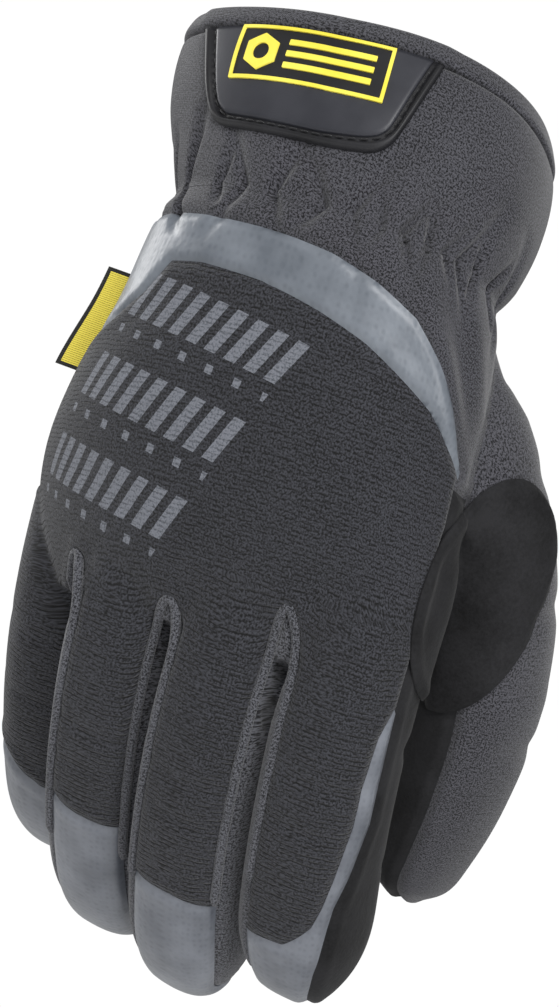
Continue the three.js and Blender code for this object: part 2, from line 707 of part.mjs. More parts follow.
const cuffShares = [0, 0.08, 0.16, 0.34, 0.52, 0.72, 1];
const cuffLow = () => SEAM_GAP / 2;
const cuffHigh = (angle) => hemLine(angle) - SEAM_GAP / 2;
panels.cuff = sleeve(
  cuffRings(cuffShares, cuffLow, cuffHigh, (station, angle) => gather(station, angle)),
  cuffRings(cuffShares, cuffLow, cuffHigh, (station, angle) => gather(station, angle) - WALL));

const hemShares = [0, 0.15, 0.85, 1];
const hemSwell = [0, HEM_EXTRA, HEM_EXTRA, 0];
const hemLow = (angle) => hemLine(angle) + SEAM_GAP / 2;
panels.cuff_hem = sleeve(
  cuffRings(hemShares, hemLow, rimLine, (station, angle, i) => hemSwell[i]),
  cuffRings(hemShares, hemLow, rimLine, (station, angle, i) => -WALL - hemSwell[i]));

// Rubber patch on the back of the cuff, whose upper edge meets the hem. height is a share of
// CUFF_LENGTH, and left and right are the angles of its side edges at that height.
const PATCH_EDGE = table(
  ['height', 'left', 'right'], [
    [0.250, -28, 0], [0.272, -33.5, 9.6], [0.2925, -34.9, 15], [0.3575, -36, 19.2],
    [0.4525, -37, 21.4], [0.625, -39.2, 24.7], [0.700, -41, 26.2], [1.000, -43.5, 29.5],
  ]);
const PLATE_EDGE = table(
  ['height', 'left', 'right'], [
    [0.305, -27.4, -2], [0.3175, -29, 2.4], [0.3475, -31, 12], [0.400, -31.8, 17],
    [0.515, -32.8, 19], [0.675, -35, 21.8], [1.000, -37, 25.3],
  ]);
const BADGE_EDGE = table(
  ['height', 'left', 'right'], [[0.500, -26.2, 13.5], [0.650, -25.2, 13.8], [0.755, -24.2, 14.2]]);

const patchCells = (edge) => edge.map((line) => steps(line.left, line.right, 14).map((angle) => [
  Math.min(line.height * CUFF_LENGTH, hemLine(angle) - SEAM_GAP), angle]));
const patchLow = SEAM_GAP;
const plateLow = patchLow + PATCH_THICKNESS + SEAM_GAP;
const badgeLow = plateLow + PLATE_THICKNESS + SEAM_GAP;
panels.patch_base = overlay(hand, patchCells(PATCH_EDGE), patchLow, patchLow + PATCH_THICKNESS);
panels.patch_plate = overlay(hand, patchCells(PLATE_EDGE), plateLow, plateLow + PLATE_THICKNESS);
panels.patch_badge = overlay(hand, patchCells(BADGE_EDGE), badgeLow, badgeLow + BADGE_THICKNESS);

// Folded label in the little finger side seam
const TAG_TOP = 0.20;
const TAG_ANGLE = -84;
const TAG_OUTWARD = new THREE.Vector3(-1, -0.1, 0.05).normalize();

function tagCorners(station) {
  const section = hand(station);
  const foot = onSection(section, TAG_ANGLE, SEAM_GAP);
  const side = new THREE.Vector3(0, TAG_THICKNESS / 2, 0);
  const tip = foot.clone().addScaledVector(TAG_OUTWARD, TAG_WIDTH);
  return [foot.clone().sub(side), tip.clone().sub(side), tip.clone().add(side), foot.clone().add(side)];
}
const tagTop = -TAG_TOP * PALM_LENGTH;
panels.side_tag = loft(steps(tagTop, tagTop - TAG_LENGTH, 4).map(tagCorners));

// Colour, roughness and metalness of each kind of cloth
const FINISH = {
  stretch: [0x47484c, 0.92, 0],
  hem: [0x4a4b50, 0.9, 0],
  rubber: [0x2c2d30, 0.5, 0],
  plate: [0x38393d, 0.42, 0],
  yellow: [0xfef068, 0.55, 0],
  grey: [0x7d838d, 0.5, 0],
  gloss: [0x666a73, 0.35, 0],
  knit: [0x2d2e33, 0.95, 0],
  gusset: [0x3a3b3f, 0.9, 0],
  suede: [0x232426, 0.9, 0],
};
const FINISH_OF = {
  cuff: 'stretch',
  cuff_hem: 'hem',
  patch_base: 'rubber',
  patch_plate: 'plate',
  patch_badge: 'yellow',
  back_yoke: 'stretch',
  crescent: 'grey',
  back_panel: 'knit',
  palm_panel: 'suede',
  thumb_palm: 'suede',
  saddle_patch: 'suede',
  side_tag: 'yellow',
};
for (const name of Object.keys(panels)) {
  if (name.startsWith('fourchette')) FINISH_OF[name] = 'gusset';
  if (name.startsWith('tip_cap')) FINISH_OF[name] = 'gloss';
}

// A panel is its largest connected piece: trimmings left between two cuts are dropped.
function largestPiece({ vertProperties, triVerts }) {
  const points = Array.from({ length: vertProperties.length / 3 }, (_, i) => (
    new THREE.Vector3().fromArray(vertProperties, 3 * i)));
  const parent = points.map((_, i) => i);
  const find = (i) => {
    let root = i;
    while (parent[root] !== root) root = parent[root];
    while (parent[i] !== root) [parent[i], i] = [root, parent[i]];
    return root;
  };
  const faces = Array.from({ length: triVerts.length / 3 }, (_, i) => [...triVerts.slice(3 * i, 3 * i + 3)]);
  for (const [p, q, r] of faces) {
    parent[find(p)] = find(q);
    parent[find(q)] = find(r);
  }
  const volume = new Map();
  for (const [p, q, r] of faces) {
    const part = points[p].dot(new THREE.Vector3().crossVectors(points[q], points[r]));
    volume.set(find(p), (volume.get(find(p)) ?? 0) + part);
  }
  const [best] = [...volume].sort((one, two) => two[1] - one[1])[0];
  return { points, faces: faces.filter(([p]) => find(p) === best) };
}

// Crossing cuts leave chains of tiny faces. A point is merged into a neighbour where no face turns
// by more than a little and the surface moves less than the tolerance, earlier merges counted.
const MERGE_TOLERANCE = 0.06;
const MERGE_TURN = 0.95;
const MERGE_PASSES = 5;

function faceNormal(p, q, r) {
  const normal = q.clone().sub(p).cross(r.clone().sub(p));
  return { normal, size: normal.length() };
}

// How far merging one point into another moves the surface, or Infinity where it may not be done
function mergeShift(points, around, gone, kept) {
  const shared = new Set();
  const ring = new Set(around[kept].flat());
  for (const face of around[gone]) {
    for (const corner of face) {
      if (corner !== gone && corner !== kept && ring.has(corner)) shared.add(corner);
    }
  }
  if (shared.size !== 2) return Infinity;
  return Math.max(...around[gone].filter((face) => !face.includes(kept)).map((face) => {
    const before = faceNormal(...face.map((i) => points[i]));
    const after = faceNormal(...face.map((i) => points[i === gone ? kept : i]));
    if (after.size < 1e-4) return Infinity;
    const turn = before.normal.dot(after.normal) / (before.size * after.size);
    if (turn < MERGE_TURN && before.size > 1e-3) return Infinity;
    return Math.abs(points[gone].clone().sub(points[kept]).dot(after.normal)) / after.size;
  }));
}

function mergePoints({ points, faces }) {
  const around = points.map(() => []);
  const drift = points.map(() => 0);
  for (const face of faces) for (const corner of face) around[corner].push(face);
  for (let pass = 0; pass < MERGE_PASSES; pass += 1) {
    let merged = 0;
    for (let gone = 0; gone < points.length; gone += 1) {
      const near = [...new Set(around[gone].flat())].filter((i) => i !== gone)
        .sort((i, j) => points[i].distanceTo(points[gone]) - points[j].distanceTo(points[gone]));
      const allowed = MERGE_TOLERANCE - drift[gone];
      const kept = near.find((i) => mergeShift(points, around, gone, i) < allowed - drift[i]);
      if (kept === undefined) continue;
      drift[kept] += drift[gone] + mergeShift(points, around, gone, kept);
      for (const face of around[gone]) {
        if (face.includes(kept)) {
          for (const corner of face) {
            if (corner !== gone) around[corner] = around[corner].filter((other) => other !== face);
          }
        } else {
          face[face.indexOf(gone)] = kept;
          around[kept].push(face);
        }
      }
      around[gone] = [];
      merged += 1;
    }
    if (merged === 0) break;
  }
  return { points, faces: [...new Set(around.flat())] };
}

function toGeometry({ points, faces }) {
  const renumber = new Map();
  const positions = [];
  const index = faces.flat().map((old) => {
    if (!renumber.has(old)) {
      renumber.set(old, renumber.size);
      positions.push(...points[old].toArray());
    }
    return renumber.get(old);
  });
  const geometry = new THREE.BufferGeometry();
  geometry.setAttribute('position', new THREE.Float32BufferAttribute(positions, 3));
  geometry.setIndex(index);
  geometry.computeVertexNormals();
  return geometry;
}

const glove = new THREE.Group();
for (const [name, solid] of Object.entries(panels)) {
  const [color, roughness, metalness] = FINISH[FINISH_OF[name]];
  const material = new THREE.MeshStandardMaterial({ color, roughness, metalness });
  const mesh = new THREE.Mesh(toGeometry(mergePoints(largestPiece(solid.getMesh()))), material);
  mesh.name = name;
  glove.add(mesh);
}

export default glove;
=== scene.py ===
import math

import bpy
import numpy as np
from mathutils import Matrix, Vector, kdtree


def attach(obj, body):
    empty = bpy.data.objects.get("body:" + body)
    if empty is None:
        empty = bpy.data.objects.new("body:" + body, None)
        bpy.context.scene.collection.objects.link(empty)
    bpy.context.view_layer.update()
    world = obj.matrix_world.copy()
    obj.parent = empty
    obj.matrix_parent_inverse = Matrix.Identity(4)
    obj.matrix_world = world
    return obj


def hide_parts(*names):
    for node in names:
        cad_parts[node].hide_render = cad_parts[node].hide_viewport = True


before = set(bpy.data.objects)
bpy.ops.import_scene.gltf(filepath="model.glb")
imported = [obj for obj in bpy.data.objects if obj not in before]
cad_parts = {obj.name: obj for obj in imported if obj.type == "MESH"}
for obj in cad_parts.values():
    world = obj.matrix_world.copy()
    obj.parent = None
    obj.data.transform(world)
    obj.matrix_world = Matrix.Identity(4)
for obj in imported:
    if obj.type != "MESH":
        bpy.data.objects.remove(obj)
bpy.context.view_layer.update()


# Camera
# The photograph looks at the back of the hand, a little from the thumb side and level with it, with
# the fingers down and the glove leaning, so the camera rolls instead of the glove.
view_side = math.radians(25)
view_roll = math.radians(18)
flat_right = Vector((math.cos(view_side), math.sin(view_side), 0))
camera_right = flat_right * math.cos(view_roll) + Vector((0, 0, math.sin(view_roll)))
camera_up = Vector((0, 0, math.cos(view_roll))) - flat_right * math.sin(view_roll)
camera_back = camera_right.cross(camera_up)
camera_lens = bpy.data.cameras.new("photo_camera")
camera_lens.lens = 144.8
camera_lens.sensor_width = 36
camera_lens.shift_x = 0.033
camera_lens.shift_y = 0.076
camera_lens.clip_start = 0.01
camera_lens.clip_end = 20
camera_place = (0.3799, -0.8057, -0.074)
camera = bpy.data.objects.new("photo_camera", camera_lens)
camera.matrix_world = Matrix.Translation(camera_place) @ Matrix(
    (camera_right, camera_up, camera_back)).transposed().to_4x4()
bpy.context.collection.objects.link(camera)
bpy.context.scene.camera = camera


# The worn form of the glove
# Every panel from the elastic down to the fingertips is sewn into one soft skin, which a hand fills.
# The skin is made first, over the hand, the four fingers and the thumb, and the panels are cut from it.
PALM_WIDTH, PALM_LENGTH, PALM_DEPTH = 100.0, 88.0, 48.0
CUFF_LENGTH, CUFF_WIDTH, CUFF_DEPTH = 40.0, 93.0, 57.0
THUMB_LENGTH, THUMB_REACH, THUMB_WIDTH, THUMB_DEPTH = 132.0, 57.5, 41.0, 34.0

# along, drift, rise, width, back, front, square, tilt, sag
palm_sections = [
    (0.091, 0.003, -0.011, 0.850, 0.500, 0.500, 2.2, 17, 0.00),
    (0.278, 0.001, -0.011, 0.900, 0.479, 0.500, 2.3, 12, 0.02),
    (0.477, -0.026, 0.000, 0.972, 0.458, 0.458, 2.4, 8, 0.06),
    (0.670, -0.046, 0.023, 1.026, 0.417, 0.396, 2.5, 3, 0.14),
    (0.852, -0.053, 0.057, 1.020, 0.354, 0.313, 2.6, 0, 0.24),
    (1.000, -0.051, 0.102, 0.920, 0.271, 0.229, 2.8, 0, 0.27),
]
cuff_sections = [
    (1.000, -0.280, 0.420, 0.935, 0.480, 0.474, 2.4, 24),
    (0.775, -0.222, 0.325, 1.000, 0.509, 0.491, 2.4, 25),
    (0.475, -0.125, 0.175, 0.985, 0.491, 0.491, 2.4, 23),
    (0.200, -0.038, 0.075, 0.920, 0.456, 0.456, 2.3, 21),
]
# the wrist, drawn in by the elastic, in mm
wrist_row = (0, 0, 0, 40.3, 24, 24, 2.2, 20, 0)
hand_rows = np.array(sorted(
    [(-a * PALM_LENGTH, x * PALM_LENGTH, y * PALM_LENGTH, w * PALM_WIDTH / 2, b * PALM_DEPTH,
      f * PALM_DEPTH, q, t, s * PALM_DEPTH) for a, x, y, w, b, f, q, t, s in palm_sections]
    + [wrist_row]
    + [(a * CUFF_LENGTH, x * CUFF_LENGTH, y * CUFF_LENGTH, w * CUFF_WIDTH / 2, b * CUFF_DEPTH,
        f * CUFF_DEPTH, q, t, 0) for a, x, y, w, b, f, q, t in cuff_sections]))


def smooth_rows(rows, at):
    """Smooth curve through the rows of a table whose first column is the station."""
    xs, ys = rows[:, 0], rows[:, 1:]
    slope = np.empty_like(ys)
    slope[1:-1] = (ys[2:] - ys[:-2]) / (xs[2:] - xs[:-2])[:, None]
    slope[0] = (ys[1] - ys[0]) / (xs[1] - xs[0])
    slope[-1] = (ys[-1] - ys[-2]) / (xs[-1] - xs[-2])
    at = np.clip(at, xs[0], xs[-1])
    i = np.clip(np.searchsorted(xs, at, side="right") - 1, 0, len(xs) - 2)
    gap = xs[i + 1] - xs[i]
    t = ((at - xs[i]) / gap)[:, None]
    gap = gap[:, None]
    return ((2 * t**3 - 3 * t**2 + 1) * ys[i] + (t**3 - 2 * t**2 + t) * gap * slope[i]
            + (3 * t**2 - 2 * t**3) * ys[i + 1] + (t**3 - t**2) * gap * slope[i + 1])


def signed_power(value, power):
    """Power of a value's size, with the value's sign."""
    return np.sign(value) * np.abs(value) ** power


def ring_shares(angle, square):
    """Sideways and depth shares of a superellipse, from 0 at the back of the hand to 90 at the thumb."""
    turn = np.radians(angle - 90)
    return signed_power(np.cos(turn), 2 / square), signed_power(np.sin(turn), 2 / square)


def on_hand(station, angle, offset=0.0):
    """Points of the hand and the cuff; a station is its height over the elastic in mm."""
    station, angle, offset = np.broadcast_arrays(
        np.asarray(station, float), np.asarray(angle, float), np.asarray(offset, float))
    x, y, half, back, front, square, tilt, sag = smooth_rows(hand_rows, station.ravel()).T
    side, deep = ring_shares(angle.ravel(), square)
    depth = np.where(deep < 0, back, front)
    across = x + (half + offset.ravel()) * side
    through = (depth + offset.ravel()) * deep + sag * np.minimum(side, 0) ** 2
    tilt = np.radians(tilt)
    return np.stack([across, y + through * np.cos(tilt), station.ravel() - through * np.sin(tilt)],
                    axis=1).reshape(station.shape + (3,))


# name: root x, rise, drop, splay, curl at the root and the tip, length, width, depth
finger_table = {
    "little": (-46.9, 0.375, 0.750, -4.5, 12.5, 58, 100.0, 24.0, 25.6),
    "ring": (-22.0, 0.115, 0.818, -5.0, 9.5, 62, 110.0, 26.0, 27.6),
    "middle": (6.0, 0.073, 0.818, -5.5, 7.5, 54, 112.0, 26.8, 29.0),
    "index": (34.0, 0.094, 0.807, -4.2, 11.0, 40, 98.0, 27.2, 30.4),
}
FINGER_SQUARE = 2.6
TIP_START = 0.74


def finger_frame(name):
    """Root, directions, curl, length and half sizes of a finger."""
    root_x, rise, drop, splay, curl_root, curl_tip, length, width, depth = finger_table[name]
    splay, start = math.radians(splay), math.radians(curl_root)
    gain = math.radians(curl_tip - curl_root)
    root = np.array([root_x, rise * PALM_DEPTH, -drop * PALM_LENGTH])
    down = np.array([math.sin(splay), 0, -math.cos(splay)])
    sideways = np.array([math.cos(splay), 0, math.sin(splay)])
    return root, down, sideways, start, gain, length, width / 2, depth / 2


def finger_taper(station):
    """Share of a finger's full thickness, falling to nothing at its rounded tip and its hidden root."""
    past = np.clip((station - TIP_START) / (1 - TIP_START), 0, 0.999)
    before = np.clip(station / -0.3, 0, 0.98)
    return np.sqrt(1 - past**2.4) * np.sqrt(1 - before**2)


def on_finger(name, station, angle, offset=0.0):
    """Points of a finger; a station is a share of its length from the knuckle to the tip."""
    station, angle = np.broadcast_arrays(np.asarray(station, float), np.asarray(angle, float))
    root, down, sideways, start, gain, length, half, depth = finger_frame(name)
    curl = start + gain * station
    reach = length / gain
    ahead = (math.cos(start) - np.cos(curl)) * reach
    fall = (np.sin(curl) - math.sin(start)) * reach
    taper = finger_taper(station)
    side, deep = ring_shares(angle, FINGER_SQUARE)
    wide = (half * (0.15 + 0.85 * taper) + offset) * side
    thick = (depth * taper + offset) * deep
    forward = np.array([0.0, 1.0, 0.0])
    return (root + down * fall[..., None] + forward * ahead[..., None] + sideways * wide[..., None]
            + (forward * np.cos(curl)[..., None] - down * np.sin(curl)[..., None]) * thick[..., None])


# out, reach, drop, width, depth
thumb_sections = np.array([
    (0.168, 0.139, 0.005, 0.820, 0.942), (0.250, 0.243, 0.163, 0.970, 1.000),
    (0.366, 0.383, 0.314, 1.000, 1.000), (0.446, 0.539, 0.470, 0.922, 0.942),
    (0.470, 0.696, 0.634, 0.820, 0.853), (0.452, 0.835, 0.786, 0.673, 0.794),
    (0.416, 0.948, 0.916, 0.512, 0.676), (0.404, 0.983, 0.969, 0.380, 0.518),
    (0.400, 1.000, 1.000, 0.120, 0.160)])
thumb_rows = np.column_stack([
    thumb_sections[:, 2], thumb_sections[:, 0] * PALM_WIDTH, thumb_sections[:, 1] * THUMB_REACH,
    -thumb_sections[:, 2] * THUMB_LENGTH, thumb_sections[:, 3] * THUMB_WIDTH / 2,
    thumb_sections[:, 4] * THUMB_DEPTH / 2])
THUMB_SQUARE = 2.2


def thumb_frame(station):
    """Centre, directions and half sizes of the thumb at its stations."""
    row = smooth_rows(thumb_rows, station)
    ahead = smooth_rows(thumb_rows, np.minimum(station + 0.01, 1))[:, :3]
    behind = smooth_rows(thumb_rows, np.maximum(station - 0.01, 0.005))[:, :3]
    along = ahead - behind
    along /= np.linalg.norm(along, axis=1, keepdims=True)
    across = np.array([1, -0.4, 0.2]) - along * (along @ np.array([1, -0.4, 0.2]))[:, None]
    across /= np.linalg.norm(across, axis=1, keepdims=True)
    through = np.cross(along, across)
    through *= np.where(through[:, 1:2] < 0, -1, 1)
    return row[:, :3], along, across, through, row[:, 3], row[:, 4]


def on_thumb(station, angle, offset=0.0):
    """Points of the thumb; a station is the share of its drop below the elastic."""
    station, angle = np.broadcast_arrays(np.asarray(station, float), np.asarray(angle, float))
    centre, along, across, through, half, depth = thumb_frame(station.ravel())
    side, deep = ring_shares(angle.ravel(), THUMB_SQUARE)
    across = across * ((half + offset) * side)[:, None]
    through = through * ((depth + offset) * deep)[:, None]
    return (centre + across + through).reshape(station.shape + (3,))


def grid_faces(rows, columns, closed):
    """Triangles between neighbouring points of a grid, whose columns may close into a ring."""
    last = columns if closed else columns - 1
    i, j = np.meshgrid(np.arange(rows - 1), np.arange(last), indexing="ij")
    a = (i * columns + j).ravel()
    b = (i * columns + (j + 1) % columns).ravel()
    c, d = a + columns, b + columns
    return np.concatenate([np.column_stack([a, b, d]), np.column_stack([a, d, c])])


def make_mesh(name, points, faces, cloth=None):
    """A mesh from points in mm, with the cloth's own flat coordinates, in mm too."""
    mesh = bpy.data.meshes.new(name)
    mesh.vertices.add(len(points))
    mesh.vertices.foreach_set("co", (np.asarray(points) * 0.001).ravel())
    mesh.loops.add(3 * len(faces))
    mesh.loops.foreach_set("vertex_index", np.asarray(faces, dtype=np.int32).ravel())
    mesh.polygons.add(len(faces))
    mesh.polygons.foreach_set("loop_start", np.arange(0, 3 * len(faces), 3, dtype=np.int32))
    mesh.update(calc_edges=True)
    if cloth is not None:
        layer = mesh.uv_layers.new(name="cloth")
        layer.data.foreach_set("uv", np.asarray(cloth)[np.asarray(faces).ravel()].astype(np.float32).ravel())
    mesh.validate()
    mesh.shade_smooth()
    return mesh


def closed_limb(points):
    """A limb's rings with both ends closed by a fan."""
    rows, columns = points.shape[:2]
    flat = points.reshape(-1, 3)
    faces = [grid_faces(rows, columns, True)]
    for row, flip in ((0, True), (rows - 1, False)):
        middle = len(flat)
        flat = np.vstack([flat, points[row].mean(axis=0)])
        ring = row * columns + np.arange(columns)
        following = np.roll(ring, -1)
        fan = np.column_stack([ring, following, np.full(columns, middle)])
        faces.append(fan[:, ::-1] if flip else fan)
    return flat, np.concatenate(faces)


def joined_skin(limbs, voxel):
    """One closed skin round all the limbs, as even quads."""
    points, faces, count = [], [], 0
    for limb in limbs:
        flat, tris = closed_limb(limb)
        points.append(flat)
        faces.append(tris + count)
        count += len(flat)
    body = bpy.data.objects.new("skin", make_mesh("skin", np.vstack(points), np.vstack(faces)))
    bpy.context.collection.objects.link(body)
    change = body.modifiers.new("even", "REMESH")
    change.mode = "VOXEL"
    change.voxel_size = voxel * 0.001
    even = body.evaluated_get(bpy.context.evaluated_depsgraph_get()).to_mesh()
    spots = np.empty(3 * len(even.vertices), np.float32)
    even.vertices.foreach_get("co", spots)
    corners = np.empty(len(even.loops), np.int32)
    even.loops.foreach_get("vertex_index", corners)
    body.to_mesh_clear()
    bpy.data.objects.remove(body)
    return spots.reshape(-1, 3).astype(float) * 1000, corners.reshape(-1, 4)


around = np.arange(0, 360, 3.0)[None, :]
finger_steps = np.concatenate([
    np.linspace(-0.3, 0.7, 44), TIP_START + 0.26 * np.sin(np.linspace(0, math.pi / 2, 22)) * 0.998])
skin_limbs = [on_hand(np.linspace(-PALM_LENGTH, 8, 90)[:, None], around)]
skin_limbs += [on_finger(name, finger_steps[:, None], around) for name in finger_table]
skin_limbs.append(on_thumb(np.linspace(0.005, 1, 90)[:, None], around))
skin, quads = joined_skin(skin_limbs, 0.8)

links = np.concatenate([quads[:, [0, 1]], quads[:, [1, 2]], quads[:, [2, 3]], quads[:, [3, 0]]])
links = np.unique(np.sort(links, axis=1), axis=0)
neighbours = np.bincount(links.ravel(), minlength=len(skin))[:, None]


def relaxed(values, times, amount=0.5):
    """Each point's value moved towards the mean of its neighbours."""
    for _ in range(times):
        total = np.zeros_like(values)
        for axis in range(values.shape[1]):
            total[:, axis] = (np.bincount(links[:, 0], values[links[:, 1], axis], len(values))
                              + np.bincount(links[:, 1], values[links[:, 0], axis], len(values)))
        values = values + amount * (total / neighbours - values)
    return values


for _ in range(6):
    skin = relaxed(skin, 1, 0.6)
    skin = relaxed(skin, 1, -0.62)
skin = relaxed(skin, 3, 0.5)

short = (np.linalg.norm(skin[quads[:, 0]] - skin[quads[:, 2]], axis=1)
         <= np.linalg.norm(skin[quads[:, 1]] - skin[quads[:, 3]], axis=1))[:, None]
triangles = np.concatenate([
    np.where(short, quads[:, [0, 1, 2]], quads[:, [0, 1, 3]]),
    np.where(short, quads[:, [0, 2, 3]], quads[:, [1, 2, 3]])])


def outward(points, faces):
    """Unit normals of the points."""
    normal = np.cross(points[faces[:, 1]] - points[faces[:, 0]], points[faces[:, 2]] - points[faces[:, 0]])
    total = np.zeros_like(points)
    for corner in range(3):
        for axis in range(3):
            total[:, axis] += np.bincount(faces[:, corner], normal[:, axis], len(points))
    return total / np.maximum(np.linalg.norm(total, axis=1, keepdims=True), 1e-12)


def level_and_angle(side, deep, square):
    """How far out of a section a point lies, 1 on its skin, and its angle round the section."""
    level = (np.abs(side) ** square + np.abs(deep) ** square) ** (1 / square)
    angle = np.degrees(np.arctan2(signed_power(deep, square / 2), signed_power(side, square / 2))) + 90
    return level, np.where(angle > 180, angle - 360, angle)


thumb_samples = np.linspace(0.005, 1, 120)
thumb_spine = thumb_frame(thumb_samples)
# length in mm of the thumb's middle line
THUMB_SPINE_LENGTH = 146


def places(points):
    """Station, angle and level of each point on every limb, and the limb it belongs to."""
    found = {}
    station = points[:, 2].copy()
    for _ in range(6):
        x, y, half, back, front, square, tilt, sag = smooth_rows(hand_rows, station).T
        tilt = np.radians(tilt)
        station = points[:, 2] + np.tan(tilt) * (points[:, 1] - y)
    side = (points[:, 0] - x) / half
    through = (points[:, 1] - y) / np.cos(tilt) - sag * np.minimum(side, 0) ** 2
    deep = through / np.where(through < 0, back, front)
    level, angle = level_and_angle(side, deep, square)
    past_palm = np.maximum(-PALM_LENGTH - station, 0)
    found["hand"] = (station, angle, level + past_palm / 30)
    for name in finger_table:
        root, down, sideways, start, gain, length, half, depth = finger_frame(name)
        offset = points - root
        fall, ahead, wide = offset @ down, offset[:, 1], offset @ sideways
        reach = length / gain
        curl = np.arctan2(fall + math.sin(start) * reach, math.cos(start) * reach - ahead)
        share = (curl - start) / gain
        thick = reach - np.hypot(fall + math.sin(start) * reach, math.cos(start) * reach - ahead)
        taper = finger_taper(share)
        level, angle = level_and_angle(
            wide / (half * (0.15 + 0.85 * taper)), thick / (depth * np.maximum(taper, 0.04)), FINGER_SQUARE)
        level = np.where(share < 0, level + 0.1 - share * 3, level)
        found[name] = (share, angle, level)
    centre, along, across, through, half, depth = thumb_spine
    nearest = np.empty(len(points), int)
    for start in range(0, len(points), 20000):
        gaps = np.linalg.norm(points[start:start + 20000, None] - centre[None], axis=2)
        nearest[start:start + 20000] = gaps.argmin(axis=1)
    offset = points - centre[nearest]
    share = thumb_samples[nearest] + (offset * along[nearest]).sum(axis=1) / THUMB_SPINE_LENGTH
    level, angle = level_and_angle(
        (offset * across[nearest]).sum(axis=1) / half[nearest],
        (offset * through[nearest]).sum(axis=1) / depth[nearest], THUMB_SQUARE)
    found["thumb"] = (share, np.where(angle < 0, angle + 360, angle), level)
    names = list(found)
    found["own"] = np.array(names)[np.argmin([found[name][2] for name in names], axis=0)]
    return found


def distance_to_path(points, path):
    """Distance of each point to a line of points, and how far along it the nearest spot is."""
    path = np.asarray(path, float)
    best = np.full(len(points), 1e9)
    share = np.zeros(len(points))
    spans = np.linalg.norm(np.diff(path, axis=0), axis=1)
    done = 0.0
    for first, second, span in zip(path[:-1], path[1:], spans):
        step = (second - first) / span
        t = np.clip((points - first) @ step, 0, span)
        gap = np.linalg.norm(points - first - t[:, None] * step, axis=1)
        closer = gap < best
        best = np.where(closer, gap, best)
        share = np.where(closer, (done + t) / spans.sum(), share)
        done += span
    return best, share


# Folds of the skin. The elastic draws the cloth in, so short puckers start at it and slant away, and a
# long soft fold runs from it over the ball of the thumb. Below the knuckles the knit dips a little.
# side: angle round the wrist, slant in degrees per mm of station
pucker_table = [
    (-74, 1.4), (-56, 1.6), (-34, 1.5), (-22, -0.6), (-11, 1.2), (5, -1.3), (14, 0.9), (25, -1.2),
    (33, 1.1), (44, -0.9), (51, 1.3), (59, 0.9), (70, -1.0), (82, 1.0), (97, -0.9), (112, 1.1),
    (128, -0.8), (146, 1.0), (163, -1.0), (181, 0.8), (199, -1.1), (216, 0.9), (233, -0.9), (250, 1.2),
    (265, -1.0), (277, 0.9)]


def pucker_depth(station, angle):
    """Depth in mm of the creases that the elastic draws, above and below it."""
    depth = np.zeros_like(station)
    for number, (side, slant) in enumerate(pucker_table):
        length = np.where(station > 0, 13.0, 9.5) + 4.0 * math.sin(number * 2.4)
        middle = side + slant * np.abs(station) * 0.7
        turn = (angle - middle + 180) % 360 - 180
        width = 1.0 + 0.13 * np.abs(station)
        fade = np.clip(1 - np.abs(station) / length, 0, 1) ** 0.7
        deep = 2.3 + 0.6 * math.sin(number * 1.7)
        depth = np.maximum(depth, np.exp(-(turn * 0.72 / width) ** 2) * fade * deep)
    return depth + 0.7 * np.exp(-(station / 2.2) ** 2)


# At the elastic the ball of the thumb is drawn in to the wrist.
station, _, level = places(skin)["hand"]
drawn_in = np.clip((station + 16) / 15, 0, 1) ** 1.5 * (level > 1)
wrist_centre = np.column_stack([smooth_rows(hand_rows, station)[:, :2], station])
skin = wrist_centre + (skin - wrist_centre) * (np.maximum(level, 0.1) ** -drawn_in)[:, None]
spots = places(skin)
skin_normal = outward(skin, triangles)
if (skin_normal * (skin - skin.mean(axis=0))).sum() < 0:
    triangles = triangles[:, ::-1]
    skin_normal = -skin_normal
skin_normal = relaxed(skin_normal, 2)
moved = -pucker_depth(spots["hand"][0], spots["hand"][1]) * (spots["hand"][0] < 8) * (
    spots["hand"][2] < 1.3)


def fold_height(line, width, height):
    """Height in mm that a fold along a line of points gives the skin. It fades out at both ends."""
    gap, share = distance_to_path(skin, line)
    return height * np.exp(-(gap / width) ** 2) * np.sin(np.pi * np.clip(share, 0.02, 0.98)) ** 0.7


# path as (station, angle) on the hand, width, height
hand_folds = [
    ([(-2, 40), (-12, 50), (-24, 62), (-36, 76)], 4.0, 1.3),
    ([(-3, 52), (-14, 63), (-26, 76), (-38, 92)], 2.6, -1.1),
    ([(-4, 68), (-16, 80), (-28, 96)], 3.0, 0.9),
    ([(-2, 14), (-9, 20), (-15, 29)], 2.4, 0.5),
    ([(-3, -14), (-6, -24), (-9, -36)], 2.2, 0.4),
    ([(-44, 66), (-58, 58), (-70, 46)], 5.0, -0.5),
    ([(-58, -52), (-64, -30), (-68, -10)], 5.0, -0.5),
    ([(-66, 14), (-70, 32), (-68, 52)], 4.5, -0.45),
    ([(-50, 84), (-62, 88), (-76, 84)], 3.0, -1.0),
]
for path, width, height in hand_folds:
    station, angle = np.array(path, float).T
    dense = np.linspace(0, 1, 12)
    knots = np.linspace(0, 1, len(path))
    line = on_hand(np.interp(dense, knots, station), np.interp(dense, knots, angle))
    moved += fold_height(line, width, height)

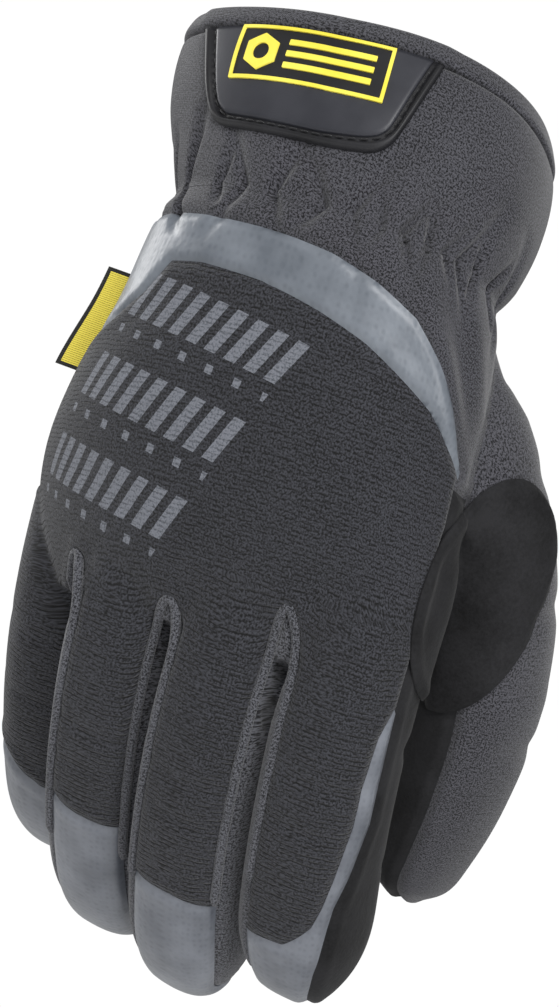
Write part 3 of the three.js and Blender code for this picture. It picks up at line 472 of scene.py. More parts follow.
# finger, station, first and last angle, width, height
finger_folds = [
    ("little", 0.30, -70, 30, 2.0, -0.45), ("little", 0.45, -60, 40, 1.8, -0.4),
    ("ring", 0.36, -50, 60, 2.0, -0.45), ("ring", 0.44, -60, 30, 1.6, -0.35),
    ("middle", 0.38, -50, 55, 2.2, -0.45), ("middle", 0.46, -30, 60, 1.6, -0.35),
    ("index", 0.36, -40, 80, 2.2, -0.45), ("index", 0.47, -50, 60, 1.6, -0.35),
    ("index", 0.30, 100, 175, 2.4, -0.9), ("middle", 0.33, 120, 240, 2.4, -0.9),
    ("ring", 0.33, 120, 240, 2.4, -0.9), ("little", 0.33, 120, 240, 2.2, -0.9),
    ("index", 0.62, 110, 250, 2.0, -0.7), ("middle", 0.60, 110, 250, 2.0, -0.7),
    ("ring", 0.60, 110, 250, 2.0, -0.7), ("little", 0.60, 110, 250, 2.0, -0.7),
]
for name, station, first, last, width, height in finger_folds:
    turn = np.linspace(first, last, 14)
    line = on_finger(name, station + 0.02 * np.sin(np.linspace(0, 3, 14)), turn)
    moved += fold_height(line, width, height)

# station, first and last angle, width, height
thumb_folds = [
    (0.40, 30, 120, 4.0, 0.7), (0.47, 60, 150, 3.0, -0.9), (0.60, 40, 130, 4.0, 0.6),
    (0.67, 60, 160, 3.0, -0.8), (0.30, 80, 170, 4.0, -0.7), (0.62, 220, 330, 2.6, -0.9),
]
for station, first, last, width, height in thumb_folds:
    turn = np.linspace(first, last, 14)
    line = on_thumb(station + 0.015 * np.sin(np.linspace(0, 3, 14)), turn)
    moved += fold_height(line, width, height)

# name, first and last angle of a strip that the seams let swell, stations where it starts and ends
swollen_strips = [
    ("little", 50, 130, 0.10, 0.95), ("ring", 55, 130, 0.10, 0.95), ("middle", 60, 130, 0.10, 0.95),
    ("ring", -130, -45, 0.10, 0.95), ("middle", -130, -45, 0.10, 0.95), ("index", -130, -42, 0.10, 0.95)]
for name, low, high, start, end in swollen_strips:
    station, angle, _ = spots[name]
    swell = np.clip((angle - low) / 22, 0, 1) * np.clip((high - angle) / 22, 0, 1)
    swell *= np.clip((station - start) / 0.12, 0, 1) * np.clip((end - station) / 0.12, 0, 1)
    moved += np.where(spots["own"] == name, 0.9 * swell, 0)

# at: places on the smooth form, shown: the same places with their folds, out: normals
whole = {"at": skin, "shown": skin + skin_normal * moved[:, None], "out": skin_normal, "faces": triangles}
form = whole
# Distance in mm given to spots of another limb when a panel is cut, and the radians in a degree
OUTSIDE = -6.0
DEGREE = 0.01745


def inside_angles(angle, low, high, half):
    """Distance in mm inside a strip between two angles of a limb of that half width."""
    return np.minimum((angle - low) * half * DEGREE, (high - angle) * half * DEGREE)


def islands(count, faces):
    """Number of the connected island that each face belongs to."""
    label = np.arange(count)
    pairs = np.concatenate([faces[:, [0, 1]], faces[:, [1, 2]]])
    while True:
        low = np.minimum(label[pairs[:, 0]], label[pairs[:, 1]])
        fresh = label.copy()
        np.minimum.at(fresh, pairs[:, 0], low)
        np.minimum.at(fresh, pairs[:, 1], low)
        fresh = fresh[fresh]
        if (fresh == label).all():
            return label[faces[:, 0]]
        label = fresh


def kept_part(piece, faces):
    """The piece with only these faces and their points."""
    used, numbers = np.unique(faces.ravel(), return_inverse=True)
    part = {key: piece[key][used] for key in ("at", "shown", "out")}
    part["faces"] = numbers.reshape(-1, 3)
    return part


def cut(piece, inside):
    """Cuts a piece along the line where the inside distance is zero; gives the panel and the rest."""
    piece = {key: value.copy() for key, value in piece.items()}
    faces, inside = piece["faces"], inside.copy()
    edges = np.concatenate([faces[:, [0, 1]], faces[:, [1, 2]], faces[:, [2, 0]]])
    edges = np.unique(np.sort(edges, axis=1), axis=0)
    first, second = inside[edges[:, 0]], inside[edges[:, 1]]
    crossing = first * second < 0
    edges, share = edges[crossing], (first / np.where(crossing, first - second, 1))[crossing]
    for near, far, part in ((0, 1, share), (1, 0, 1 - share)):
        close = (part < 0.3) & (inside[edges[:, near]] != 0)
        spot, other, weight = edges[close, near], edges[close, far], part[close][:, None]
        spot, index = np.unique(spot, return_index=True)
        other, weight = other[index], weight[index]
        for key in ("at", "shown", "out"):
            piece[key][spot] += (piece[key][other] - piece[key][spot]) * weight
        inside[spot] = 0
    first, second = inside[edges[:, 0]], inside[edges[:, 1]]
    crossing = first * second < 0
    edges = edges[crossing]
    share = (first[crossing] / (first - second)[crossing])[:, None]
    count = len(inside)
    number = {(int(a), int(b)): count + i for i, (a, b) in enumerate(edges)}
    for key in ("at", "shown", "out"):
        start, end = piece[key][edges[:, 0]], piece[key][edges[:, 1]]
        piece[key] = np.vstack([piece[key], start + (end - start) * share])
    sign = np.sign(inside)[faces]
    mixed = (sign.max(axis=1) > 0) & (sign.min(axis=1) < 0)
    mine = ~mixed & (sign.max(axis=1) > 0)
    inner, outer = [faces[mine]], [faces[~mixed & ~mine]]
    spare = {1.0: [], -1.0: []}
    for corners, signs in zip(faces[mixed], sign[mixed]):
        alone = next((k for k in range(3) if signs[k] != 0 and signs[(k + 1) % 3] != signs[k]
                      and signs[(k + 2) % 3] != signs[k]), 0)
        a, b, c = (int(corners[(alone + k) % 3]) for k in range(3))
        sa, sb, sc = (signs[(alone + k) % 3] for k in range(3))
        ab = number.get((min(a, b), max(a, b)))
        ac = number.get((min(a, c), max(a, c)))
        if ab is not None and ac is not None:
            spare[sa].append((a, ab, ac))
            spare[-sa] += [(ab, b, c), (ab, c, ac)]
        elif ab is not None:
            spare[sa].append((a, ab, c))
            spare[-sa].append((ab, b, c))
        elif ac is not None:
            spare[sa].append((a, b, ac))
            spare[-sa].append((b, c, ac))
    inner = np.vstack(inner + [np.array(spare[1.0], int).reshape(-1, 3)])
    outer = np.vstack(outer + [np.array(spare[-1.0], int).reshape(-1, 3)])
    for source in (0, 1):
        pair = [inner, outer]
        label = islands(len(piece["at"]), pair[source])
        kinds, counts = np.unique(label, return_counts=True)
        small = kinds[counts < (0.2 * counts.max() if source == 0 else 150)]
        stray = np.isin(label, small)
        pair[1 - source] = np.vstack([pair[1 - source], pair[source][stray]])
        pair[source] = pair[source][~stray]
        inner, outer = pair
    return kept_part(piece, inner), kept_part(piece, outer)


def border_of(faces):
    """Edges that only one face has."""
    edges = np.concatenate([faces[:, [0, 1]], faces[:, [1, 2]], faces[:, [2, 0]]])
    ordered = np.sort(edges, axis=1)
    _, index, counts = np.unique(ordered, axis=0, return_index=True, return_counts=True)
    return edges[index[counts == 1]]


def walled(faces, count):
    """Faces of a sheet with an outer and an inner skin of that many points each, closed at its border."""
    edge = border_of(faces)
    return np.vstack([
        faces, faces[:, ::-1] + count, np.column_stack([edge[:, 1], edge[:, 0], edge[:, 0] + count]),
        np.column_stack([edge[:, 1], edge[:, 0] + count, edge[:, 1] + count])])


def search_tree(spots):
    """A tree that finds the nearest of some points."""
    tree = kdtree.KDTree(len(spots))
    for number, spot in enumerate(spots):
        tree.insert(spot, number)
    tree.balance()
    return tree


def cloth_place(points):
    """Flat coordinates of the cloth in mm: across the limb and down it."""
    found = places(points)
    total = np.zeros((len(points), 2))
    weight = np.zeros(len(points))
    for name in ("hand", *finger_table):
        station, angle, level = found[name]
        if name == "hand":
            x, y, half, back = smooth_rows(hand_rows, station).T[:4]
            side = np.clip((points[:, 0] - x) / half, -1, 1)
            across, down = points[:, 0] + side**3 * (back + points[:, 1] - y), -station
        else:
            root, half, length = finger_table[name][0], finger_table[name][7] / 2, finger_table[name][6]
            across = root + half * np.radians(angle)
            down = finger_table[name][2] * PALM_LENGTH + station * length
        trust = np.clip(1.35 - level, 0, 1) ** 3 + 1e-9
        total += np.column_stack([across, down]) * trust[:, None]
        weight += trust
    total /= weight[:, None]
    station, angle, level = found["thumb"]
    thumb_own = (found["own"] == "thumb")[:, None]
    return np.where(thumb_own, np.column_stack([angle * 0.31, station * THUMB_LENGTH]), total)


def placed_piece(name, mesh, material, replaces=()):
    """An object of that mesh, carried by the root, which stands for the nodes that it replaces."""
    mesh.set_sharp_from_angle(angle=math.radians(60))
    piece = bpy.data.objects.new(name, mesh)
    bpy.context.collection.objects.link(piece)
    mesh.materials.append(material)
    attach(piece, "root")
    if replaces:
        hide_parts(*replaces)
    return piece


def sewn_panel(name, piece, material, wall=1.2, sink=0.75, swell=0.25, reach=1.1):
    """A panel with its wall thickness, turned in along its seams and a little full beside them."""
    points, normal, faces = piece["shown"], piece["out"], piece["faces"]
    edge = border_of(faces)[:, 0]
    sewn = points[edge][places(piece["at"][edge])["hand"][0] < -0.6]
    tree = search_tree(sewn)
    gap = np.array([tree.find(spot)[2] for spot in points])
    seam = np.exp(-(gap / reach) ** 2)
    rise = swell * np.exp(-((gap - 2.6) / 1.5) ** 2) - sink * seam
    outer = points + normal * rise[:, None]
    inner = points - normal * (wall + 0.3 * seam)[:, None]
    cloth = cloth_place(piece["at"])
    mesh = make_mesh(name, np.vstack([outer, inner]), walled(faces, len(points)), np.vstack([cloth, cloth]))
    return placed_piece(name, mesh, material, (name,))


def new_group(name, inputs, outputs):
    """A shader node group with named sockets."""
    group = bpy.data.node_groups.new(name, "ShaderNodeTree")
    for label, kind, value in inputs:
        socket = group.interface.new_socket(name=label, in_out="INPUT", socket_type=kind)
        socket.default_value = value
    for label, kind in outputs:
        group.interface.new_socket(name=label, in_out="OUTPUT", socket_type=kind)
    return group, group.nodes.new("NodeGroupInput"), group.nodes.new("NodeGroupOutput")


def set_inputs(tree, node, inputs):
    """Gives a node's inputs, by name or number, their values or links them to other nodes' outputs."""
    for label, value in inputs.items():
        if isinstance(value, bpy.types.NodeSocket):
            tree.links.new(value, node.inputs[label])
        else:
            node.inputs[label].default_value = value


def add_node(tree, kind, inputs):
    node = tree.nodes.new(kind)
    set_inputs(tree, node, inputs)
    return node


def math_node(tree, kind, *values):
    node = add_node(tree, "ShaderNodeMath", dict(enumerate(values)))
    node.operation = kind
    return node.outputs[0]


def ramp_node(tree, factor, stops):
    """Colour that runs through stops of a place and a linear colour."""
    node = tree.nodes.new("ShaderNodeValToRGB")
    tree.links.new(factor, node.inputs["Fac"])
    while len(node.color_ramp.elements) < len(stops):
        node.color_ramp.elements.new(0.5)
    for element, (place, colour) in zip(node.color_ramp.elements, stops):
        element.position = place
        element.color = (*colour, 1)
    return node.outputs["Color"]


def linear(red, green, blue):
    """Linear colour from the 0 to 255 values seen."""
    return tuple((v / 255 / 12.92) if v / 255 <= 0.04045 else ((v / 255 + 0.055) / 1.055) ** 2.4
                 for v in (red, green, blue))


# Threads crossing at an angle, for the stretch cloth and the sewing thread. Thread is the pitch in mm.
weave, weave_in, weave_out = new_group(
    "stretch_weave",
    [("Cloth", "NodeSocketVector", (0, 0, 0)), ("Thread", "NodeSocketFloat", 0.6),
     ("Slant", "NodeSocketFloat", 0.8)],
    [("Height", "NodeSocketFloat"), ("Tone", "NodeSocketFloat")])
weave_xy = weave.nodes.new("ShaderNodeSeparateXYZ")
weave.links.new(weave_in.outputs["Cloth"], weave_xy.inputs[0])
weave_turn = math_node(weave, "DIVIDE", 2 * math.pi, weave_in.outputs["Thread"])
weave_rise = math_node(
    weave, "MULTIPLY_ADD", weave_xy.outputs[0], weave_in.outputs["Slant"], weave_xy.outputs[1])
weave_fall = math_node(weave, "MULTIPLY_ADD", weave_xy.outputs[1], -0.5, weave_xy.outputs[0])
weave_one = math_node(weave, "SINE", math_node(weave, "MULTIPLY", weave_rise, weave_turn))
weave_two = math_node(weave, "SINE", math_node(weave, "MULTIPLY", weave_fall, weave_turn))
weave_both = math_node(weave, "MULTIPLY", weave_one, weave_two)
weave_fuzz = weave.nodes.new("ShaderNodeTexNoise")
weave.links.new(weave_in.outputs["Cloth"], weave_fuzz.inputs["Vector"])
weave.links.new(math_node(weave, "DIVIDE", 1.5, weave_in.outputs["Thread"]), weave_fuzz.inputs["Scale"])
weave_fuzz.inputs["Detail"].default_value = 2
weave_fuzz.inputs["Roughness"].default_value = 0.7
weave_height = math_node(weave, "MULTIPLY_ADD", weave_both, 0.3, weave_fuzz.outputs["Fac"])
weave.links.new(weave_height, weave_out.inputs["Height"])
weave_spread = math_node(weave, "MULTIPLY_ADD", weave_fuzz.outputs["Fac"], 4.6, -1.8)
weave.links.new(math_node(weave, "MULTIPLY_ADD", weave_both, 0.15, weave_spread), weave_out.inputs["Tone"])

# Broad unevenness of tone that handling and light leave on cloth. Spread is the patch size in metres.
wear, wear_in, wear_out = new_group(
    "uneven_tone", [("Spread", "NodeSocketFloat", 0.02)], [("Tone", "NodeSocketFloat")])
wear_place = wear.nodes.new("ShaderNodeTexCoord")
wear_noise = wear.nodes.new("ShaderNodeTexNoise")
wear_noise.inputs["Detail"].default_value = 4
wear.links.new(wear_place.outputs["Object"], wear_noise.inputs["Vector"])
wear.links.new(math_node(wear, "DIVIDE", 1.0, wear_in.outputs["Spread"]), wear_noise.inputs["Scale"])
wear.links.new(wear_noise.outputs["Fac"], wear_out.inputs["Tone"])


def new_material(name):
    """A material with its node tree and shader."""
    material = bpy.data.materials.new(name)
    material.use_nodes = True
    return material, material.node_tree, material.node_tree.nodes["Principled BSDF"]


def cloth_coordinates(tree):
    place = tree.nodes.new("ShaderNodeUVMap")
    place.uv_map = "cloth"
    return place.outputs["UV"]


def uneven_tone(tree, spread):
    group = tree.nodes.new("ShaderNodeGroup")
    group.node_tree = wear
    group.inputs["Spread"].default_value = spread
    return group.outputs["Tone"]


def add_relief(tree, shader, height, strength, depth):
    """Fine relief on a shader, with its depth in mm."""
    bump = add_node(tree, "ShaderNodeBump", {
        "Strength": strength, "Distance": depth * 0.001, "Height": height})
    tree.links.new(bump.outputs["Normal"], shader.inputs["Normal"])


def cloth_material(name, dark, light, thread, slant=0.8, bump=0.12, rough=0.85, spread=0.02):
    """Woven or knitted stretch cloth in two tones of one colour. Thread is the pitch in mm."""
    material, tree, shader = new_material(name)
    threads = tree.nodes.new("ShaderNodeGroup")
    threads.node_tree = weave
    set_inputs(tree, threads, {"Cloth": cloth_coordinates(tree), "Thread": thread, "Slant": slant})
    tone = math_node(tree, "MULTIPLY_ADD", uneven_tone(tree, spread), 0.4, threads.outputs["Tone"])
    add_relief(tree, shader, threads.outputs["Height"], 0.8, bump)
    set_inputs(tree, shader, {
        "Base Color": ramp_node(tree, tone, [(0.3, dark), (1.0, light)]), "Roughness": rough,
        "Sheen Weight": 0.25, "Sheen Roughness": 0.5, "Specular IOR Level": 0.25})
    return material


# Fourchettes
# Narrow strips of grey stretch cloth between the fingers, from the front of one finger over the crotch
# to the next. Their back seams are turned to the outside and rolled, so each shows as a soft welt.
gusset_cloth = cloth_material(
    "gusset_stretch", linear(16, 16, 19), linear(96, 97, 103), thread=0.75, slant=1.0)
# first finger, second finger, angles of the seams on each, drop of the slit, depth where the web starts
fourchette_table = [
    ("little", "ring", 42, -36, 0.905, 7), ("ring", "middle", 50, -38, 0.940, 1),
    ("middle", "index", 58, -34, 0.865, -1)]
FOURCHETTE_FRONT = 132
FOURCHETTE_START, FOURCHETTE_END, FOURCHETTE_CORNER = 0.12, 0.93, 3.5


def finger_strip(found, name, low, high, start, end):
    """Distance in mm inside a strip of a finger between two angles and two stations."""
    station, angle, level = found[name]
    length, half = finger_table[name][6], finger_table[name][7] / 2
    beside = inside_angles(angle, low, high, half)
    along = np.minimum((station - start) * length, (end - station) * length)
    rounded = FOURCHETTE_CORNER - np.hypot(
        np.maximum(FOURCHETTE_CORNER - beside, 0), np.maximum(FOURCHETTE_CORNER - along, 0))
    inside = np.where((beside < 0) | (along < 0), np.minimum(beside, along), rounded)
    others = np.min([found[other][2] for other in finger_table if other != name], axis=0)
    return np.where((level < 1.13) & (level < others) & (found["own"] != "thumb"), inside, OUTSIDE)


def crotch_edges(first, second, near, far, slit):
    """Heights and side limits of the web between two fingers."""
    tops = [on_finger(first, FOURCHETTE_START, near), on_finger(second, FOURCHETTE_START, far)]
    lows = [on_finger(first, FOURCHETTE_START + 0.04, near), on_finger(second, FOURCHETTE_START + 0.04, far)]
    peak = -slit * PALM_LENGTH
    middle = (tops[0][0] + tops[1][0]) / 2
    heights = [min(lows[0][2], lows[1][2]), min(tops[0][2], tops[1][2], peak - 2), peak]
    return heights, [lows[0][0], tops[0][0], middle], [lows[1][0], tops[1][0], middle]


for first, second, near, far, slit, back in fourchette_table:
    spots = places(form["at"])
    heights, left, right = crotch_edges(first, second, near, far, slit)
    x, y, z = form["at"].T
    web = np.minimum.reduce([
        x - np.interp(z, heights, left), np.interp(z, heights, right) - x,
        heights[2] - z, z - heights[0] + 4, 6 - y])
    beside = 6 - 0.45 * np.maximum(y + 1, 0) - np.abs(x - left[2])
    deep = np.minimum.reduce([beside, heights[2] + 3 - z, z - heights[2] + 18, y - back])
    crotch = np.where(np.isin(spots["own"], ("hand", first, second)), np.maximum(web, deep), OUTSIDE)
    inside = np.maximum.reduce([
        crotch, finger_strip(spots, first, near, FOURCHETTE_FRONT, FOURCHETTE_START, FOURCHETTE_END),
        finger_strip(spots, second, -FOURCHETTE_FRONT, far, FOURCHETTE_START, FOURCHETTE_END)])
    strip, form = cut(form, inside)
    sewn_panel(f"fourchette_{first}_{second}", strip, gusset_cloth, sink=0.9, swell=0.0)


def tube(path, radius, sides, flat=1.0, up=None):
    """A round or flattened tube along a line of points, with rounded ends."""
    path = np.asarray(path, float)
    along = np.gradient(path, axis=0)
    along /= np.linalg.norm(along, axis=1, keepdims=True)
    up = np.tile([0.3, -1.0, 0.2], (len(path), 1)) if up is None else np.asarray(up, float)
    side = np.cross(along, up)
    side /= np.linalg.norm(side, axis=1, keepdims=True)
    top = np.cross(side, along)
    turn = np.linspace(0, 2 * math.pi, sides, endpoint=False)
    size = np.full(len(path), radius)
    size[0] = size[-1] = radius * 0.35
    rings = (path[:, None] + side[:, None] * (np.cos(turn)[None, :, None] * size[:, None, None])
             + top[:, None] * (np.sin(turn)[None, :, None] * size[:, None, None] * flat))
    points, faces = closed_limb(rings)
    length = np.concatenate([[0], np.cumsum(np.linalg.norm(np.diff(path, axis=0), axis=1))])
    cloth = np.column_stack([np.tile(turn * radius, len(path)), np.repeat(length, sides)])
    cloth = np.vstack([cloth, [[0, 0], [0, length[-1]]]])
    return points, faces, cloth


def add_piece(name, parts, material, replaces=()):
    """One object made of several meshes given as points, faces and cloth coordinates."""
    points = np.vstack([part[0] for part in parts])
    starts = np.cumsum([0] + [len(part[0]) for part in parts[:-1]])
    faces = np.vstack([part[1] + start for part, start in zip(parts, starts)])
    cloth = np.vstack([part[2] for part in parts])
    return placed_piece(name, make_mesh(name, points, faces, cloth), material, replaces)


back_spots = form["shown"][form["out"][:, 1] < -0.5]
back_tree = search_tree(back_spots * (1, 0, 1))

# The rolled welts: up one finger's seam, over the top of the slit and down the next finger's seam.
welt_cloth = cloth_material("welt_stretch", linear(20, 21, 25), linear(92, 93, 99), thread=0.75, bump=0.15)
for first, second, near, far, slit, _ in fourchette_table:
    down = np.linspace(0.15, 0.66, 34)
    left = on_finger(first, down, near, 0.15)
    right = on_finger(second, down, far, 0.15)
    top = (left[0] + right[0]) / 2
    top[2] = crotch_edges(first, second, near, far, slit)[0][2] + 0.5
    top[1] = min(left[0][1], right[0][1]) - 0.6
    arch = [left[0] * (1 - t) ** 2 + 2 * t * (1 - t) * (2 * top - (left[0] + right[0]) / 2) + right[0] * t**2
            for t in np.linspace(0.1, 0.9, 11)]
    path = np.vstack([left[::-1], arch, right])
    for _ in range(6):
        path[1:-1] = (path[:-2] + 2 * path[1:-1] + path[2:]) / 4
    for spot in path:
        _, number, gap = back_tree.find((spot[0], 0, spot[2]))
        if gap < 2:
            spot[1] = min(spot[1], back_spots[number, 1] + 0.2)
    path[1:-1, 1] = (path[:-2, 1] + 2 * path[1:-1, 1] + path[2:, 1]) / 4
    welt = add_piece(f"welt_{first}_{second}", [tube(path, 1.15, 14, 0.8)], welt_cloth)


# Fingertip caps
# Glossy grey coated cloth over each fingertip, cut straight over the back of the finger and sewn to the
# knit. The index cap also climbs the thumb side of the finger as a narrow tongue.
def coated_material(name, dark, light, rough, dimple, bump):
    """Smooth coated cloth with rows of small embossed dimples, each also painted darker as painted shade in
    its hollow. Dimple is their spacing in mm.
    """
    material, tree, shader = new_material(name)
    cloth = cloth_coordinates(tree)
    cells = add_node(tree, "ShaderNodeTexVoronoi", {"Scale": 1 / dimple, "Randomness": 0.35, "Vector": cloth})
    dimple_depth_and_shade = math_node(tree, "SUBTRACT", 0.42, cells.outputs["Distance"])
    dimple_depth_and_shade = math_node(tree, "SMOOTH_MAX", dimple_depth_and_shade, 0.0, 0.1)
    folds = add_node(tree, "ShaderNodeTexNoise", {"Scale": 0.22, "Detail": 2, "Vector": cloth})
    height = math_node(tree, "MULTIPLY", dimple_depth_and_shade, -1.0)
    height = math_node(tree, "MULTIPLY_ADD", folds.outputs["Fac"], 4.0, height)
    # The dimples are painted darker too: painted shade in their hollows, on the fingertip caps and the
    # crescent alike.
    tone = math_node(tree, "MULTIPLY_ADD", dimple_depth_and_shade, -0.35, uneven_tone(tree, 0.012))
    add_relief(tree, shader, height, 1.0, bump)
    set_inputs(tree, shader, {
        "Base Color": ramp_node(tree, tone, [(0.3, dark), (0.75, light)]), "Roughness": rough,
        "Coat Weight": 0.25, "Coat Roughness": 0.35})
    return material


cap_gloss = coated_material("fingertip_coated", linear(86, 90, 98), linear(122, 126, 134), 0.34, 1.5, 0.10)
# angles round the finger, and the station of the cap's edge at each
cap_edges = {
    "little": ([-90, -29, 9, 90], [0.60, 0.645, 0.695, 0.73]),
    "ring": ([-90, -40, 0, 45, 90], [0.54, 0.55, 0.57, 0.58, 0.59]),
    "middle": ([-90, -38, 5, 48, 90], [0.63, 0.64, 0.645, 0.66, 0.67]),
}
# station, lowest and highest angle of the index cap
index_cap = np.array([
    (0.18, 78, 80), (0.25, 66, 81), (0.345, 62, 82), (0.465, 60, 82), (0.585, 49, 68), (0.66, 40, 54),
    (0.71, 31, 50), (0.77, 5, 46), (0.785, -38, 45), (0.80, -92, 44), (0.84, -92, 40), (0.92, -92, 36),
    (1.03, -92, 36)])
for name in finger_table:
    spots = places(form["at"])
    station, angle, _ = spots[name]
    length, half = finger_table[name][6], finger_table[name][7] / 2
    if name == "index":
        low = np.interp(station, index_cap[:, 0], index_cap[:, 1])
        high = np.interp(station, index_cap[:, 0], index_cap[:, 2])
        start = index_cap[0, 0]
    else:
        low, high = -91, 91
        start = np.interp(angle, *cap_edges[name])
    inside = np.minimum(inside_angles(angle, low, high, half), (station - start) * length)
    inside = np.where(spots["own"] == name, inside, OUTSIDE)
    cap, form = cut(form, inside)
    sewn_panel(f"tip_cap_{name}", cap, cap_gloss, sink=0.55, swell=0.15)


# Crescent
# A curved strip of smooth grey embossed synthetic between the stretch cloth and the knit, broad on the
# little finger side and drawn out to a point towards the thumb. Both its edges are sewn under.
crescent_gloss = coated_material(
    "crescent_embossed", linear(94, 100, 108), linear(124, 130, 138), 0.45, 1.9, 0.10)
# angle, upper and lower edge
crescent_table = np.array([
    (-80, 0.060, 0.400), (-58, 0.075, 0.330), (-46, 0.078, 0.275), (-38, 0.080, 0.195),
    (-24, 0.083, 0.189), (-4, 0.086, 0.198), (12, 0.098, 0.225), (28, 0.125, 0.258), (44, 0.165, 0.305),
    (58, 0.240, 0.345), (70, 0.318, 0.395), (80, 0.382, 0.428), (88, 0.432, 0.455)])
spots = places(form["at"])
station, angle, _ = spots["hand"]
crescent_upper = np.interp(angle, crescent_table[:, 0], crescent_table[:, 1]) * PALM_LENGTH
crescent_lower = np.interp(angle, crescent_table[:, 0], crescent_table[:, 2]) * PALM_LENGTH
inside = np.minimum.reduce([
    -station - crescent_upper, crescent_lower + station, (angle + 80) * 0.87, (88 - angle) * 0.87])
inside = np.where((spots["own"] == "thumb") & (station < -50), OUTSIDE, inside)
crescent_piece, form = cut(form, inside)
sewn_panel("crescent", crescent_piece, crescent_gloss, sink=0.7, swell=0.1, reach=0.9)


# Knit back
# One panel of black ribbed air knit over the back of the hand and the backs of the four fingers. The ribs
# run across the hand with rows of small holes between them.
knit, knit_in, knit_out = new_group(
    "ribbed_knit",
    [("Cloth", "NodeSocketVector", (0, 0, 0)), ("Rib", "NodeSocketFloat", 1.2),
     ("Streak", "NodeSocketFloat", 0.4)],
    [("Height", "NodeSocketFloat"), ("Tone", "NodeSocketFloat")])


def cloth_noise(tree, cloth, scale, detail, across=1.0):
    """Noise over the cloth, drawn out sideways where across is under 1."""
    stretch = tree.nodes.new("ShaderNodeVectorMath")
    stretch.operation = "MULTIPLY"
    tree.links.new(cloth, stretch.inputs[0])
    stretch.inputs[1].default_value = (across, 1, 1)
    noise = add_node(tree, "ShaderNodeTexNoise", {
        "Scale": scale, "Detail": detail, "Vector": stretch.outputs[0]})
    return noise.outputs["Fac"]


knit_xy = knit.nodes.new("ShaderNodeSeparateXYZ")
knit.links.new(knit_in.outputs["Cloth"], knit_xy.inputs[0])
knit_wavy = cloth_noise(knit, knit_in.outputs["Cloth"], 0.2, 3)
knit_wavy = math_node(knit, "MULTIPLY_ADD", knit_wavy, 1.3, knit_xy.outputs[1])
knit_turn = math_node(knit, "DIVIDE", 2 * math.pi, knit_in.outputs["Rib"])
knit_rib = math_node(knit, "SINE", math_node(knit, "MULTIPLY", knit_wavy, knit_turn))
knit_line = math_node(knit, "MULTIPLY", math_node(knit, "MAXIMUM", knit_rib, 0.0), 1.25)
knit_broken = cloth_noise(knit, knit_in.outputs["Cloth"], 1.3, 2, 0.3)
knit_broken = math_node(knit, "MULTIPLY_ADD", knit_broken, 5.0, -1.9)
knit_broken = math_node(knit, "MINIMUM", math_node(knit, "MAXIMUM", knit_broken, 0.0), 1.0)
knit_lower = math_node(knit, "MULTIPLY_ADD", knit_xy.outputs[1], 0.012, -0.75)
knit_lower = math_node(knit, "MINIMUM", math_node(knit, "MAXIMUM", knit_lower, 0.0), 0.5)
knit_dark = math_node(knit, "MULTIPLY", knit_line, math_node(
    knit, "MULTIPLY", knit_broken, math_node(knit, "ADD", knit_lower, 0.75)))
knit_fuzz = cloth_noise(knit, knit_in.outputs["Cloth"], 2.1, 2)
knit.links.new(math_node(knit, "MULTIPLY_ADD", knit_dark, -1.3, knit_fuzz), knit_out.inputs["Height"])
knit_grain = math_node(knit, "MULTIPLY_ADD", knit_fuzz, 4.0, -1.5)
knit_drop = math_node(knit, "MULTIPLY", knit_dark, knit_in.outputs["Streak"])
knit.links.new(math_node(knit, "SUBTRACT", knit_grain, knit_drop), knit_out.inputs["Tone"])

knit_cloth, knit_tree, knit_shader = new_material("black_air_knit")
knit_place = cloth_coordinates(knit_tree)
knit_look = knit_tree.nodes.new("ShaderNodeGroup")
knit_look.node_tree = knit
set_inputs(knit_tree, knit_look, {"Rib": 1.05, "Streak": 0.55, "Cloth": knit_place})
knit_mix = math_node(knit_tree, "MULTIPLY_ADD", uneven_tone(knit_tree, 0.018), 0.3, knit_look.outputs["Tone"])
knit_colour = ramp_node(knit_tree, knit_mix, [(0.1, linear(4, 4, 6)), (1.1, linear(58, 59, 65))])

# Grey screen print on the knit: three rows of slanting bars, each over a row of small squares. Sizes are
# in mm, and the slope is how far a row drops for each mm across.
PRINT_SLOPE, PRINT_DOWN, PRINT_PITCH, PRINT_HEIGHT = 0.15, 24.9, 19.3, 10.0
PRINT_START, PRINT_SHIFT, PRINT_LENGTH, PRINT_BAR = 30.0, 7.0, 47.0, 5.4
SQUARE_TOP, SQUARE_BOTTOM, SQUARE_PITCH = 12.4, 14.2, 7.6
print_xy = add_node(knit_tree, "ShaderNodeSeparateXYZ", {0: knit_place})
print_below = math_node(knit_tree, "MULTIPLY_ADD", print_xy.outputs[0], -PRINT_SLOPE, print_xy.outputs[1])
print_below = math_node(knit_tree, "SUBTRACT", print_below, PRINT_DOWN)
print_row = math_node(knit_tree, "FLOOR", math_node(knit_tree, "DIVIDE", print_below, PRINT_PITCH))
print_depth = math_node(knit_tree, "MULTIPLY_ADD", print_row, -PRINT_PITCH, print_below)
print_along = math_node(knit_tree, "MULTIPLY_ADD", print_xy.outputs[1], PRINT_SLOPE, print_xy.outputs[0])
print_along = math_node(knit_tree, "MULTIPLY_ADD", print_row, PRINT_SHIFT, print_along)
print_along = math_node(knit_tree, "ADD", print_along, PRINT_START)


def between(tree, value, low, high):
    """1 where a value lies between two limits, or else 0."""
    return math_node(tree, "MULTIPLY", math_node(tree, "GREATER_THAN", value, low),
                     math_node(tree, "LESS_THAN", value, high))


